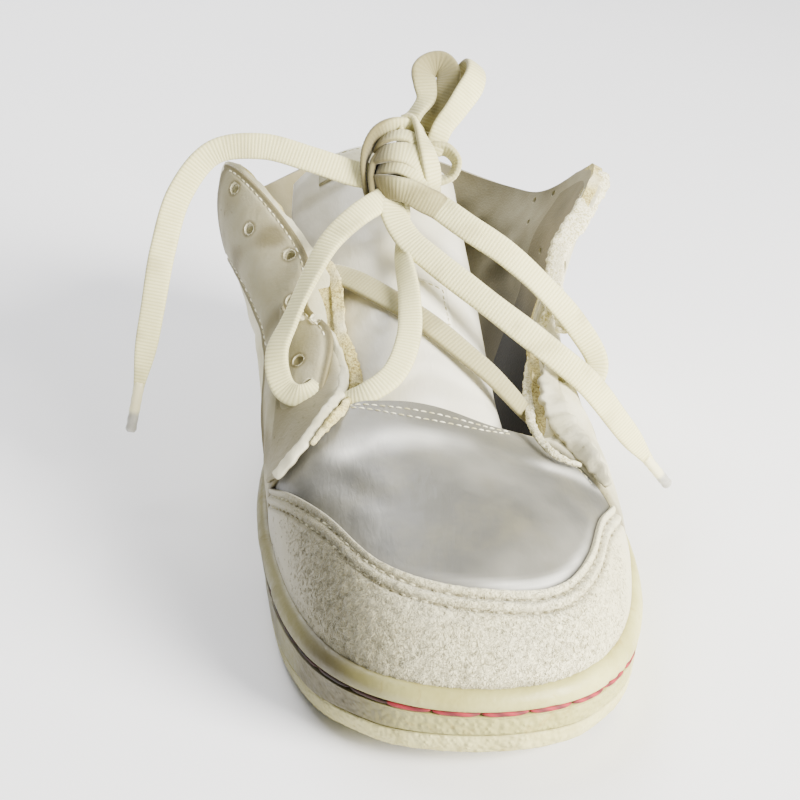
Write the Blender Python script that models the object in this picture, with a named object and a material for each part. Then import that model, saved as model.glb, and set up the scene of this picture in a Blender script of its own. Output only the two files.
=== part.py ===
"""Worn low sneaker, right foot, standing empty on its sole.

Frame: millimetres in the tables, metres in the scene. The toe points to -Y, the heel to +Y, +X is the
medial side and +Z is up. The origin is the middle of the heel's flat spot, on the floor.

The upper is one skin over the last. It is read by two numbers: `turn` runs round the shoe from the heel's
middle (0) along the lateral side, the toe (12) and the medial side back to the heel (24), and `climb` runs
up a rib from the feather line in the sole (0) to the rim of collar and throat (1).
"""

import math
from collections import namedtuple

import bmesh
import bpy
import numpy as np
from mathutils import Vector

MM = 0.001
GAP = 0.3  # clearance between neighbouring pieces

# Upper
WALL = 2.5  # leather and lining together
COLLAR_PAD = 3.5  # extra foam inside the collar
PANEL = 1.3  # overlay leather
PANEL_GAP = 0.8  # to the upper, whose flat facets stand a little off its curve
STAY_LOW = 0.62  # climb of the eyestays' lower edge beside the collar
AROUND = 60  # columns round the shoe, even, so that both sides pair up
CLIMBS = (0.0, 0.14, 0.27, 0.39, 0.51, 0.62, 0.73, 0.83, 0.92, 1.0)

# Sole
OUTSOLE_HEIGHT = 6.5
SEAM_OUT = 4.5  # reach of the side at the seam between tread and cup
CUP_FLOOR = 12.0  # floor of the cup above the tread
GROOVE_BELOW_LIP = 6.3
LIP_THICK = 3.2
INSOLE_THICK = 3.5
TREAD_DEPTH = 1.8
TREAD_WIDTH = 3.2
STRIPS = 4  # columns across the sole's flat faces

# Lace
LACE_WIDTH = 8.6
LACE_THICK = 2.6
CORD_RADIUS = 2.3
AGLET_RADIUS = 1.7
AGLET_LENGTH = 17.0
EYELET_RADIUS = 2.1
KNOT_MIDDLE = (-3.5, -78, 112.7)
KNOT_HALF = (13.5, 12, 16)

# Ribs of the last. foot is on the feather line, belly and brow are the two handles of the rib's
# curve, and rim is on the edge of the opening.
Rib = namedtuple("Rib", "name foot belly brow rim")
RIBS = (
    Rib("heel", (0, 44.5), (0, 55, 40), (-2, 37, 66), (-3, 43, 88)),
    Rib("heel_lateral", (-19, 38.5), (-24, 47, 40), (-19, 32, 66), (-20, 38, 87)),
    Rib("heel_side_lateral", (-30, 20), (-37, 23, 40), (-32, 18, 66), (-38, 21, 84)),
    Rib("ankle_lateral", (-32, -8), (-38, -8, 42), (-46, -6, 66), (-53, -3, 84)),
    Rib("collar_lateral", (-33, -38), (-41, -38, 45), (-65, -38, 70), (-63, -34, 94)),
    Rib("tip_lateral", (-36, -66), (-45, -66, 48), (-74, -66, 86), (-58, -60, 111)),
    Rib("stay_middle_lateral", (-40, -92), (-50, -92, 48), (-67, -96, 82), (-32, -94, 89)),
    Rib("stay_front_lateral", (-44, -118), (-53, -118, 44), (-58, -122, 68), (-26, -119, 73)),
    Rib("corner_lateral", (-46, -146), (-53, -146, 38), (-49, -143, 58), (-33, -141, 57.5)),
    Rib("vamp_lateral", (-45, -175), (-50, -176, 38), (-44, -160, 58), (-26, -150, 62.5)),
    Rib("toe_side_lateral", (-39, -209), (-43, -215, 40), (-29, -180, 56), (-17, -151, 64.5)),
    Rib("toe_lateral", (-22.5, -235), (-26, -244, 42), (-16, -205, 54), (-8, -152, 64.5)),
    Rib("toe", (5, -245), (5, -254, 44), (2, -212, 53.5), (1, -152, 62.5)),
    Rib("toe_medial", (30.5, -236.5), (34.5, -245, 42), (22, -206, 53), (9, -152, 59.5)),
    Rib("toe_side_medial", (46.5, -212), (51, -217, 40), (38, -184, 52.5), (18, -151, 55.5)),
    Rib("vamp_medial", (52.5, -182), (58.5, -182, 38), (49, -163, 52), (27, -148, 51.5)),
    Rib("corner_medial", (52, -152), (59, -152, 38), (53, -146, 54), (33, -140, 49.5)),
    Rib("stay_front_medial", (46, -124), (53, -124, 40), (54, -122, 60), (34, -121, 61)),
    Rib("stay_middle_medial", (40, -96), (46, -96, 46), (50, -94, 72), (42, -92, 78)),
    Rib("tip_medial", (34, -66), (40, -66, 46), (50, -64, 80), (66, -60, 107)),
    Rib("collar_medial", (32, -38), (39, -38, 44), (50, -36, 70), (58, -31, 94)),
    Rib("ankle_medial", (31, -8), (37, -8, 42), (44, -6, 66), (50, -3, 84)),
    Rib("heel_side_medial", (29, 20), (35, 23, 40), (32, 20, 66), (38, 20, 82)),
    Rib("heel_medial", (18, 38.5), (22, 47, 40), (16, 34, 66), (18, 38, 85)),
)
TURNS = len(RIBS)

# Height of the tread above the floor and of the lip above the floor, along the shoe.
Station = namedtuple("Station", "y tread lip")
STATIONS = (
    Station(-252, 7.5, 26.5),
    Station(-235, 4.6, 26.0),
    Station(-215, 1.9, 25.5),
    Station(-190, 0.0, 25.0),
    Station(-110, 0.0, 26.0),
    Station(-70, 2.2, 28.0),
    Station(-32, 0.0, 30.0),
    Station(40, 0.0, 31.0),
    Station(54, 1.2, 31.5),
)


# ---------------------------------------------------------------- the last


def periodic_slopes(values):
    """Slopes of the smooth closed curve through values, one step apart."""
    count = len(values)
    system = 4 * np.eye(count) + np.roll(np.eye(count), 1, 0) + np.roll(np.eye(count), -1, 0)
    return np.linalg.solve(system, 3 * (np.roll(values, -1, 0) - np.roll(values, 1, 0)))


RIB_TABLE = np.array([(*rib.foot, *rib.belly, *rib.brow, *rib.rim) for rib in RIBS], float)
RIB_SLOPES = periodic_slopes(RIB_TABLE)


def hermite(low, high, slope_low, slope_high, part):
    """The cubic from low to high that has the two slopes."""
    squared, cubed = part**2, part**3
    return (
        (2 * cubed - 3 * squared + 1) * low
        + (cubed - 2 * squared + part) * slope_low
        + (3 * squared - 2 * cubed) * high
        + (cubed - squared) * slope_high
    )


def station_height(column, y):
    """A height from STATIONS at y, smooth between the stations."""
    ys = np.array([station.y for station in STATIONS], float)
    heights = np.array([getattr(station, column) for station in STATIONS], float)
    y = min(max(y, ys[0]), ys[-1])
    index = min(int(np.searchsorted(ys, y, "right")) - 1, len(ys) - 2)
    part = (y - ys[index]) / (ys[index + 1] - ys[index])
    return heights[index] + (heights[index + 1] - heights[index]) * part * part * (3 - 2 * part)


def rib_at(turn):
    """Foot, belly, brow and rim of the rib at turn, each a point."""
    index = int(math.floor(turn)) % TURNS
    after = (index + 1) % TURNS
    part = turn - math.floor(turn)
    row = hermite(
        RIB_TABLE[index], RIB_TABLE[after], RIB_SLOPES[index], RIB_SLOPES[after], part
    )
    foot = np.array([row[0], row[1], station_height("tread", row[1]) + CUP_FLOOR + GAP])
    return foot, row[2:5], row[5:8], row[8:11]


def skin(turn, climb):
    """A point of the upper's outer face."""
    foot, belly, brow, rim = rib_at(turn)
    rest = 1 - climb
    return (
        rest**3 * foot
        + 3 * rest**2 * climb * belly
        + 3 * rest * climb**2 * brow
        + climb**3 * rim
    )


def skin_normal(turn, climb):
    """The outward normal of the upper's outer face."""
    step = 0.02
    low, high = max(climb - step, 0), min(climb + step, 1)
    along = skin(turn + step, climb) - skin(turn - step, climb)
    up = skin(turn, high) - skin(turn, low)
    normal = np.cross(along, up)
    return normal / np.linalg.norm(normal)


def upper_point(turn, climb, lift):
    """A point at a distance of lift outside the upper's outer face."""
    return skin(turn, climb) + lift * skin_normal(turn, climb)


def outward(turn):
    """The level direction out of the shoe at the feather line."""
    along = rib_at(turn + 0.05)[0] - rib_at(turn - 0.05)[0]
    out = np.array([along[1], -along[0], 0.0])
    return out / np.linalg.norm(out)


def climb_at_height(turn, height):
    """The climb at which the rib first reaches a height."""
    low, high = 0.0, 0.5
    for _ in range(24):
        middle = (low + high) / 2
        if skin(turn, middle)[2] < height:
            low = middle
        else:
            high = middle
    return (low + high) / 2


def sole_point(turn, height, out):
    """A point beside the upper at a height, moved level and outward."""
    point = skin(turn, climb_at_height(turn, height) if height > rib_at(turn)[0][2] else 0.0)
    return np.array([point[0], point[1], height]) + out * outward(turn)


def ramp(value, low, high):
    """0 below low, 1 above high and smooth between them."""
    part = min(max((value - low) / (high - low), 0.0), 1.0)
    return part * part * (3 - 2 * part)


def collar_share(turn):
    """1 along the padded collar, 0 at the throat and the toe."""
    around_heel = min(turn % TURNS, TURNS - turn % TURNS)
    return 1 - ramp(around_heel, 4.0, 5.5)


def wall_thickness(turn, climb):
    """Leather and lining, with the collar's foam inside them."""
    foam = math.sin(math.pi * ramp(climb, 0.45, 1.0))
    return WALL + COLLAR_PAD * foam * collar_share(turn)


# ---------------------------------------------------------------- meshes


Finish = namedtuple("Finish", "colour roughness")
CUTTER_FINISH = Finish((0.5, 0.5, 0.5), 0.5)
TREAD_RUBBER = Finish((0.72, 0.69, 0.50), 0.6)
CUP_RUBBER = Finish((0.78, 0.76, 0.60), 0.5)
SATIN = Finish((0.55, 0.54, 0.56), 0.45)
SUEDE = Finish((0.70, 0.68, 0.62), 0.95)
LEATHER = Finish((0.76, 0.74, 0.68), 0.6)
LINING = Finish((0.35, 0.33, 0.30), 0.9)
LACE = Finish((0.76, 0.74, 0.60), 0.85)
TIP = Finish((0.45, 0.45, 0.45), 0.4)


def material(name, finish):
    """The named object's own material."""
    made = bpy.data.materials.new(name)
    made.use_nodes = True
    shader = made.node_tree.nodes["Principled BSDF"]
    shader.inputs["Base Color"].default_value = (*finish.colour, 1.0)
    shader.inputs["Roughness"].default_value = finish.roughness
    made.diffuse_color = (*finish.colour, 1.0)
    return made


def add_object(name, mesh_builder, finish):
    """Turns a bmesh in millimetres into a named object in metres, with its faces pointing out."""
    bmesh.ops.scale(mesh_builder, vec=(MM, MM, MM), verts=mesh_builder.verts)
    bmesh.ops.recalc_face_normals(mesh_builder, faces=mesh_builder.faces)
    mesh = bpy.data.meshes.new(name)
    mesh_builder.to_mesh(mesh)
    mesh_builder.free()
    mesh.shade_smooth()
    mesh.set_sharp_from_angle(angle=math.radians(40))
    obj = bpy.data.objects.new(name, mesh)
    bpy.context.scene.collection.objects.link(obj)
    obj.data.materials.append(material(name, finish))
    return obj


def ring(mesh_builder, points):
    return [mesh_builder.verts.new(Vector(point)) for point in points]


def bridge(mesh_builder, first, second, closed=True):
    """Quads between two rows of vertices."""
    count = len(first)
    for index in range(count if closed else count - 1):
        after = (index + 1) % count
        mesh_builder.faces.new((first[index], first[after], second[after], second[index]))


def turns_around():
    return [TURNS * index / AROUND for index in range(AROUND)]


def cross_strips(mesh_builder, edge, height_at):
    """Fills an outline with strips from side to side, each pair of its points a strip's ends."""
    count = len(edge)
    rows = []
    for index in range(1, count // 2):
        start, end = edge[index], edge[count - index]
        row = [start]
        for column in range(1, STRIPS):
            flat = start.co.lerp(end.co, column / STRIPS)
            row.append(mesh_builder.verts.new((flat.x, flat.y, height_at(flat.y))))
        rows.append([*row, end])
    for first, second in zip(rows, rows[1:]):
        bridge(mesh_builder, first, second, closed=False)
    for tip, row in ((edge[0], rows[0]), (edge[count // 2], rows[-1])):
        for left, right in zip(row, row[1:]):
            mesh_builder.faces.new((tip, left, right))


# ---------------------------------------------------------------- sole


def tread_height(y):
    return station_height("tread", y)


def add_outsole(finish):
    """The tread plate: a rounded lower edge, a short wall and a flat top under the cup."""
    builder = bmesh.new()
    side = ((0.0, 1.6), (1.4, 3.4), (3.4, 4.4), (OUTSOLE_HEIGHT, SEAM_OUT))
    rings = [
        ring(
            builder,
            [
                sole_point(turn, tread_height(rib_at(turn)[0][1]) + rise, out)
                for turn in turns_around()
            ],
        )
        for rise, out in side
    ]
    for first, second in zip(rings, rings[1:]):
        bridge(builder, first, second)
    cross_strips(builder, rings[0], tread_height)
    cross_strips(builder, rings[-1], lambda y: tread_height(y) + OUTSOLE_HEIGHT)
    plate = add_object("outsole", builder, finish)
    for cutter in (*tread_rings(), *tread_bars()):
        cut = plate.modifiers.new(cutter.name, "BOOLEAN")
        cut.operation = "DIFFERENCE"
        cut.solver = "EXACT"
        cut.object = cutter
    return plate


def add_cutter(name, builder):
    """A closed shape that only cuts, so it is hidden."""
    cutter = add_object(name, builder, CUTTER_FINISH)
    cutter.hide_render = True
    cutter.display_type = "WIRE"
    return cutter


def tread_rings():
    """Round grooves about the two pivots of the tread, under the ball and under the heel."""
    pivots = (
        ("ball", 3.0, -150.0, (10.0, 20.0, 30.0, 40.0)),
        ("heel", 0.0, 0.0, (11.0, 22.0)),
    )
    cutters = []
    for place, x, y, radii in pivots:
        for number, radius in enumerate(radii):
            builder = bmesh.new()
            segments = 16 + 4 * number
            corners = (
                (radius, -TREAD_DEPTH),
                (radius + TREAD_WIDTH, -TREAD_DEPTH),
                (radius + TREAD_WIDTH, TREAD_DEPTH),
                (radius, TREAD_DEPTH),
            )
            loops = []
            for reach, height in corners:
                angles = [2 * math.pi * step / segments for step in range(segments)]
                loops.append(
                    ring(
                        builder,
                        [(x + reach * math.cos(a), y + reach * math.sin(a), height) for a in angles],
                    )
                )
            for index, loop in enumerate(loops):
                bridge(builder, loop, loops[(index + 1) % len(loops)])
            cutters.append(add_cutter(f"cut_{place}_{number}", builder))
    return cutters


def tread_bars():
    """Straight grooves across the toe and the back of the heel."""
    cutters = []
    for number, (y, half) in enumerate(((-206, 34), (-218, 28), (-230, 18), (34, 17))):
        builder = bmesh.new()
        tilt = station_height("tread", y)
        bmesh.ops.create_cube(builder, size=1.0)
        bmesh.ops.scale(
            builder, vec=(2 * half, TREAD_WIDTH, 2 * TREAD_DEPTH), verts=builder.verts
        )
        bmesh.ops.translate(builder, vec=(2.0, y, tilt), verts=builder.verts)
        cutters.append(add_cutter(f"cut_bar_{number}", builder))
    return cutters


def add_midsole(finish):
    """The cup: side wall with a stitch groove and a rolled lip, and a floor inside."""
    builder = bmesh.new()

    def lip(turn):
        return station_height("lip", rib_at(turn)[0][1])

    def base(turn):
        return tread_height(rib_at(turn)[0][1])

    def side(height_of, out):
        return ring(builder, [sole_point(turn, height_of(turn), out) for turn in turns_around()])

    rings = [
        side(lambda turn: base(turn) + OUTSOLE_HEIGHT + GAP, SEAM_OUT),
        side(lambda turn: base(turn) + OUTSOLE_HEIGHT + 1.2, 5.0),
        side(lambda turn: lip(turn) - GROOVE_BELOW_LIP - 1.0, 5.0),
        side(lambda turn: lip(turn) - GROOVE_BELOW_LIP, 3.9),
        side(lambda turn: lip(turn) - GROOVE_BELOW_LIP + 1.0, 4.6),
        side(lambda turn: lip(turn) - 2.0, LIP_THICK + 0.9),
        side(lambda turn: lip(turn) - 0.5, LIP_THICK),
        side(lip, LIP_THICK - 1.2),
        side(lambda turn: lip(turn) - 0.4, GAP + 0.25),
        side(lambda turn: (lip(turn) + base(turn) + CUP_FLOOR) / 2, GAP),
        side(lambda turn: base(turn) + CUP_FLOOR, GAP),
    ]
    for first, second in zip(rings, rings[1:]):
        bridge(builder, first, second)
    cross_strips(builder, rings[0], lambda y: tread_height(y) + OUTSOLE_HEIGHT + GAP)
    cross_strips(builder, rings[-1], lambda y: tread_height(y) + CUP_FLOOR)
    return add_object("midsole", builder, finish)


def add_insole(finish):
    """A flat pad on the cup's floor, inside the upper."""
    builder = bmesh.new()
    inset = WALL + 0.7
    low, high = CUP_FLOOR + GAP, CUP_FLOOR + GAP + INSOLE_THICK

    def edge(rise):
        return ring(
            builder,
            [
                sole_point(turn, tread_height(rib_at(turn)[0][1]) + rise, -inset)
                for turn in turns_around()
            ],
        )

    rings = [edge(low), edge(high)]
    bridge(builder, *rings)
    cross_strips(builder, rings[0], lambda y: tread_height(y) + low)
    cross_strips(builder, rings[1], lambda y: tread_height(y) + high)
    return add_object("insole", builder, finish)


# ---------------------------------------------------------------- upper


def add_upper(finish):
    """One hollow wall, open at collar and throat and underneath."""
    builder = bmesh.new()
    outer = [
        ring(builder, [upper_point(turn, climb, 0.0) for turn in turns_around()])
        for climb in CLIMBS
    ]
    inner = [
        ring(
            builder,
            [
                upper_point(turn, climb, -wall_thickness(turn, climb))
                for turn in turns_around()
            ],
        )
        for climb in reversed(CLIMBS)
    ]
    rings = [*outer, *inner]
    for index, loop in enumerate(rings):
        bridge(builder, loop, rings[(index + 1) % len(rings)])
    return add_object("upper", builder, finish)


Panel = namedtuple("Panel", "name turns low high columns rows")


def add_panel(panel, finish):
    """An overlay on the upper. low and high give its lower and upper edge as a climb for each turn."""
    builder = bmesh.new()
    layers = []
    for lift in (PANEL_GAP, PANEL_GAP + PANEL):
        rows = []
        for row in range(panel.rows + 1):
            points = []
            for column in range(panel.columns + 1):
                start, end = panel.turns
                turn = start + (end - start) * column / panel.columns
                low, high = panel.low(turn), panel.high(turn)
                climb = low + (high - low) * row / panel.rows
                points.append(upper_point(turn, climb, lift))
            rows.append(ring(builder, points))
        layers.append(rows)
    close_layers(builder, *layers)
    return add_object(panel.name, builder, finish)


def close_layers(builder, inner, outer):
    """Faces of two matching grids and of the edge between them."""
    for first, second in zip(outer, outer[1:]):
        bridge(builder, first, second, closed=False)
    for first, second in zip(inner, inner[1:]):
        bridge(builder, second, first, closed=False)
    edges = (
        (inner[0], outer[0]),
        (outer[-1], inner[-1]),
        ([row[0] for row in outer], [row[0] for row in inner]),
        ([row[-1] for row in inner], [row[-1] for row in outer]),
    )
    for first, second in edges:
        bridge(builder, first, second, closed=False)


def above_lip(turn):
    """The climb just above the sole's lip."""
    return climb_at_height(turn, station_height("lip", rib_at(turn)[0][1]) + 2 * GAP)


# Rear edge of the toe cap: turn and climb along its double seam.
CAP_EDGE = (
    (8.4, 0.38),
    (9.2, 0.48),
    (10.1, 0.525),
    (11.0, 0.495),
    (12.0, 0.45),
    (12.9, 0.435),
    (13.6, 0.47),
    (14.2, 0.51),
    (14.8, 0.475),
)


def cap_edge(turn):
    """The climb of the toe cap's rear edge."""
    turns, climbs = np.array(CAP_EDGE).T
    slopes = np.gradient(climbs, turns)
    index = min(max(int(np.searchsorted(turns, turn, "right")) - 1, 0), len(turns) - 2)
    span = turns[index + 1] - turns[index]
    part = (turn - turns[index]) / span
    return hermite(
        climbs[index], climbs[index + 1], span * slopes[index], span * slopes[index + 1], part
    )


def stay_lateral_low(turn):
    return above_lip(turn) + (STAY_LOW - above_lip(turn)) * ramp(8.2 - turn, 0.0, 1.6)


def stay_medial_low(turn):
    return above_lip(turn) + (STAY_LOW - above_lip(turn)) * ramp(turn - 15.2, 0.0, 1.9)


def stay_high(turn):
    return 0.985


def counter_high(turn):
    around_heel = abs(turn - (TURNS if turn > TURNS / 2 else 0))
    return 0.72 - 0.42 * ramp(around_heel, 1.2, 3.4)


PANELS = (
    Panel("toe_cap", (8.42, 14.78), above_lip, cap_edge, 18, 5),
    Panel("eyestay_lateral", (4.8, 8.4), stay_lateral_low, stay_high, 9, 5),
    Panel("eyestay_medial", (14.8, 19.2), stay_medial_low, stay_high, 11, 6),
    Panel("heel_counter", (20.8, 27.2), above_lip, counter_high, 16, 4),
)


# ---------------------------------------------------------------- tongue

# Middle line of the tongue from the vamp's seam to its top, its half width, and how far its edges drop.
Section = namedtuple("Section", "x y z half drop")
TONGUE = (
    Section(-4, -148, 58.5, 27, 11),
    Section(-5, -128, 68, 27, 17),
    Section(-7, -104, 80, 28, 18),
    Section(-9, -80, 91, 29, 17),
    Section(-11, -58, 103, 29, 15),
    Section(-11, -42, 112, 28, 14),
)
TONGUE_THICK = 6.5
TONGUE_EDGE = 1.6  # thickness at its edges
TRIM_THICK = 0.9  # label and patch


def tongue_section(along):
    """The tongue's section at along, 0 at the seam and 1 at the top."""
    place = along * (len(TONGUE) - 1)
    index = min(int(place), len(TONGUE) - 2)
    rows = np.array(TONGUE, float)
    slopes = np.gradient(rows, axis=0)
    return hermite(rows[index], rows[index + 1], slopes[index], slopes[index + 1], place - index)


def tongue_middle(along, across):
    """A point of the tongue's middle face. across is -1 at the lateral edge and 1 at the medial one."""
    x, y, z, half, drop = tongue_section(along)
    return np.array([x + half * across, y, z - drop * across**2])


def tongue_point(along, across, lift):
    step = 0.02
    low, high = max(along - step, 0), min(along + step, 1)
    up = tongue_middle(high, across) - tongue_middle(low, across)
    side = tongue_middle(along, across + step) - tongue_middle(along, across - step)
    normal = np.cross(side, up)
    return tongue_middle(along, across) + lift * normal / np.linalg.norm(normal)


Pad = namedtuple("Pad", "name alongs acrosses low high rows columns")


def add_pad(pad, finish):
    """A pad on the tongue, between the lifts low and high over the tongue's middle face."""
    builder = bmesh.new()
    layers = []
    for lift in (pad.low, pad.high):
        rows = []
        for along in np.linspace(*pad.alongs, pad.rows + 1):
            points = [
                tongue_point(along, across, lift(along, across))
                for across in np.linspace(*pad.acrosses, pad.columns + 1)
            ]
            rows.append(ring(builder, points))
        layers.append(rows)
    close_layers(builder, *layers)
    return add_object(pad.name, builder, finish)


def tongue_thickness(along, across):
    """Full in the middle and thin at the edges."""
    swell = (1 - abs(across) ** 5) * ramp(along, -0.04, 0.14) * (1 - 0.7 * ramp(along, 0.93, 1.0))
    return TONGUE_EDGE + (TONGUE_THICK - TONGUE_EDGE) * swell


def tongue_top(along, across):
    return 0.5 * tongue_thickness(along, across)


def tongue_bottom(along, across):
    return -tongue_top(along, across)


def trim_seat(along, across):
    return tongue_top(along, across) + 1.6 * GAP


def trim_face(along, across):
    return trim_seat(along, across) + TRIM_THICK


TONGUE_PAD = Pad("tongue", (0, 1), (-1, 1), tongue_bottom, tongue_top, 11, 8)
TONGUE_TRIMS = (
    Pad("tongue_label", (0.84, 0.965), (-0.62, 0.62), trim_seat, trim_face, 2, 6),
    Pad("tongue_patch", (0.30, 0.44), (0.12, 0.50), trim_seat, trim_face, 2, 3),
)


def add_tongue(finish, trim):
    add_pad(TONGUE_PAD, finish)
    for pad in TONGUE_TRIMS:
        add_pad(pad, trim)


# ---------------------------------------------------------------- lace


def smooth_path(points, count):
    """count points at even distances on a smooth curve through the given ones."""
    points = np.array(points, float)
    slopes = np.gradient(points, axis=0)
    fine = []
    for index in range(len(points) - 1):
        for part in np.linspace(0, 1, 20, endpoint=False):
            fine.append(
                hermite(points[index], points[index + 1], slopes[index], slopes[index + 1], part)
            )
    fine = np.array([*fine, points[-1]])
    reach = np.concatenate([[0], np.cumsum(np.linalg.norm(np.diff(fine, axis=0), axis=1))])
    wanted = np.linspace(0, reach[-1], count)
    return np.stack([np.interp(wanted, reach, fine[:, axis]) for axis in range(3)], axis=1)


LACE_PATHS = {
    "lace_end_medial": (
        (-8, -88.3, 103.4),
        (-2, -101, 98.5),
        (12, -113, 91),
        (26, -121, 81),
        (40, -126, 70),
        (54, -127.3, 56),
        (66, -124, 41),
        (75, -120, 28),
        (81, -117, 19),
    ),
    "lace_end_lateral": (
        (-18.1, -80, 112.0),
        (-34, -76, 117),
        (-50, -71, 120),
        (-66, -68, 117),
        (-77, -70, 104),
        (-83, -74, 86),
        (-87, -79, 66),
        (-91, -84, 46),
        (-95, -90, 27),
    ),
    "lace_loop_left": (
        (-0.4, -76.2, 129.0),
        (1.5, -71, 139),
        (4, -68, 146),
        (8, -66, 149),
        (11, -66, 144),
        (9.5, -69, 136),
        (5.6, -73.4, 125.8),
    ),
    "lace_loop_right": (
        (9.4, -74.2, 119.6),
        (14, -70, 130),
        (18, -66, 139),
        (22, -63, 146),
        (25.5, -62, 141),
        (21, -67, 128),
        (12.0, -76.4, 113.5),
    ),
    "lace_run_medial": (
        (3.5, -87.7, 106.6),
        (14, -97, 102),
        (27, -103, 94),
        (39, -107, 84),
        (50, -110, 72),
        (57, -114, 60),
        (53.6, -120.4, 52.8),
    ),
    "lace_run_lateral": (
        (-10.8, -88.0, 108.2),
        (-24, -99, 101),
        (-36, -110, 89),
        (-45, -120, 77),
        (-49, -128, 69),
        (-48, -135, 64),
        (-42, -139, 63),
        (-37.2, -135.8, 65),
    ),
}
CORD_POINTS = {"lace_end_medial": 15, "lace_end_lateral": 14}
SHORT_CORD_POINTS = 11
CROSSINGS = (
    ((-5, -85.2, 99.0), (-6, -97, 93), (-6, -115, 83.8), (-9, -132, 74.5), (-19, -145, 66)),
    ((-24, -98, 84), (-14, -108, 84), (0, -119, 80), (14, -130, 71), (27, -137, 57)),
)


def add_cord(name, points, finish):
    """A stretch of lace as a plain tube."""
    path = smooth_path(points, CORD_POINTS.get(name, SHORT_CORD_POINTS))
    curve = bpy.data.curves.new(name, "CURVE")
    curve.dimensions = "3D"
    curve.bevel_depth = CORD_RADIUS * MM
    curve.bevel_resolution = 2
    curve.use_fill_caps = True
    spline = curve.splines.new("POLY")
    spline.points.add(len(path) - 1)
    for point, place in zip(spline.points, path):
        point.co = (*(place * MM), 1.0)
    obj = bpy.data.objects.new(name, curve)
    bpy.context.scene.collection.objects.link(obj)
    obj.data.materials.append(material(name, finish))
    return obj


def add_aglet(name, points, finish):
    """The stiff tip that closes a free end, in line with the lace's last stretch."""
    start, before = np.array(points[-1], float), np.array(points[-2], float)
    axis = Vector(start - before).normalized()
    builder = bmesh.new()
    bmesh.ops.create_cone(
        builder,
        cap_ends=True,
        segments=10,
        radius1=AGLET_RADIUS,
        radius2=AGLET_RADIUS * 0.8,
        depth=AGLET_LENGTH,
    )
    turned = Vector((0, 0, 1)).rotation_difference(axis).to_matrix()
    bmesh.ops.rotate(builder, cent=(0, 0, 0), matrix=turned, verts=builder.verts)
    middle = Vector(start) + axis * (AGLET_LENGTH / 2 + GAP)
    bmesh.ops.translate(builder, vec=middle, verts=builder.verts)
    return add_object(name, builder, finish)


def add_knot(finish):
    """The bow's knot as one rounded lump on the tongue."""
    builder = bmesh.new()
    bmesh.ops.create_uvsphere(builder, u_segments=12, v_segments=8, radius=1.0)
    bmesh.ops.scale(builder, vec=KNOT_HALF, verts=builder.verts)
    bmesh.ops.translate(builder, vec=KNOT_MIDDLE, verts=builder.verts)
    return add_object("lace_knot", builder, finish)


def ribbon(name, points, finish):
    """A flat stretch of lace, its wide face turned to the tongue's normal."""
    path = smooth_path(points, 12)
    builder = bmesh.new()
    loops = []
    for index, place in enumerate(path):
        ahead = path[min(index + 1, len(path) - 1)] - path[max(index - 1, 0)]
        ahead /= np.linalg.norm(ahead)
        side = np.cross(ahead, (0.0, -0.45, 0.9))
        side /= np.linalg.norm(side)
        face = np.cross(side, ahead)
        loops.append(
            ring(
                builder,
                [
                    place
                    + side * LACE_WIDTH / 2 * math.cos(angle)
                    + face * LACE_THICK / 2 * math.sin(angle)
                    for angle in (2 * math.pi * step / 8 for step in range(8))
                ],
            )
        )
    for first, second in zip(loops, loops[1:]):
        bridge(builder, first, second)
    builder.faces.new(loops[0])
    builder.faces.new(loops[-1])
    return add_object(name, builder, finish)


def add_lace(finish, tip_finish):
    for name, points in LACE_PATHS.items():
        add_cord(name, points, finish)
    add_aglet("aglet_medial", LACE_PATHS["lace_end_medial"], tip_finish)
    add_aglet("aglet_lateral", LACE_PATHS["lace_end_lateral"], tip_finish)
    add_knot(finish)
    crossing = ribbon("lace_crossing", CROSSINGS[0], finish)
    other = ribbon("lace_crossing_other", CROSSINGS[1], finish)
    other.hide_render = True
    other.display_type = "WIRE"
    join = crossing.modifiers.new("join", "BOOLEAN")
    join.operation = "UNION"
    join.object = other


# ---------------------------------------------------------------- eyelets

# Turn and climb of each eyelet, in two staggered rows.
EYELETS = (
    (
        "lateral",
        (
            (7.6, 0.9),
            (7.2, 0.83),
            (6.75, 0.91),
            (6.35, 0.84),
            (5.9, 0.92),
            (5.5, 0.85),
            (5.15, 0.92),
        ),
    ),
    (
        "medial",
        (
            (16.5, 0.88),
            (16.95, 0.81),
            (17.4, 0.89),
            (17.85, 0.83),
            (18.25, 0.92),
            (18.6, 0.85),
            (18.95, 0.92),
        ),
    ),
)
DRILL_LENGTH = 9.0  # through panel, gap and wall


def cut_eyelets():
    """Drills each eyelet through its panel and the upper, square to the skin."""
    for side, places in EYELETS:
        builder = bmesh.new()
        for turn, climb in places:
            middle = Vector(upper_point(turn, climb, -0.5))
            axis = Vector(skin_normal(turn, climb))
            made = bmesh.ops.create_cone(
                builder,
                cap_ends=True,
                segments=8,
                radius1=EYELET_RADIUS,
                radius2=EYELET_RADIUS,
                depth=DRILL_LENGTH,
            )["verts"]
            turned = Vector((0, 0, 1)).rotation_difference(axis).to_matrix()
            bmesh.ops.rotate(builder, cent=(0, 0, 0), matrix=turned, verts=made)
            bmesh.ops.translate(builder, vec=middle, verts=made)
        cutter = add_cutter(f"cut_eyelets_{side}", builder)
        for name in ("upper", f"eyestay_{side}"):
            cut = bpy.data.objects[name].modifiers.new(cutter.name, "BOOLEAN")
            cut.operation = "DIFFERENCE"
            cut.solver = "EXACT"
            cut.object = cutter


# ---------------------------------------------------------------- build


def clear_scene():
    for obj in list(bpy.data.objects):
        bpy.data.objects.remove(obj, do_unlink=True)


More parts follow.
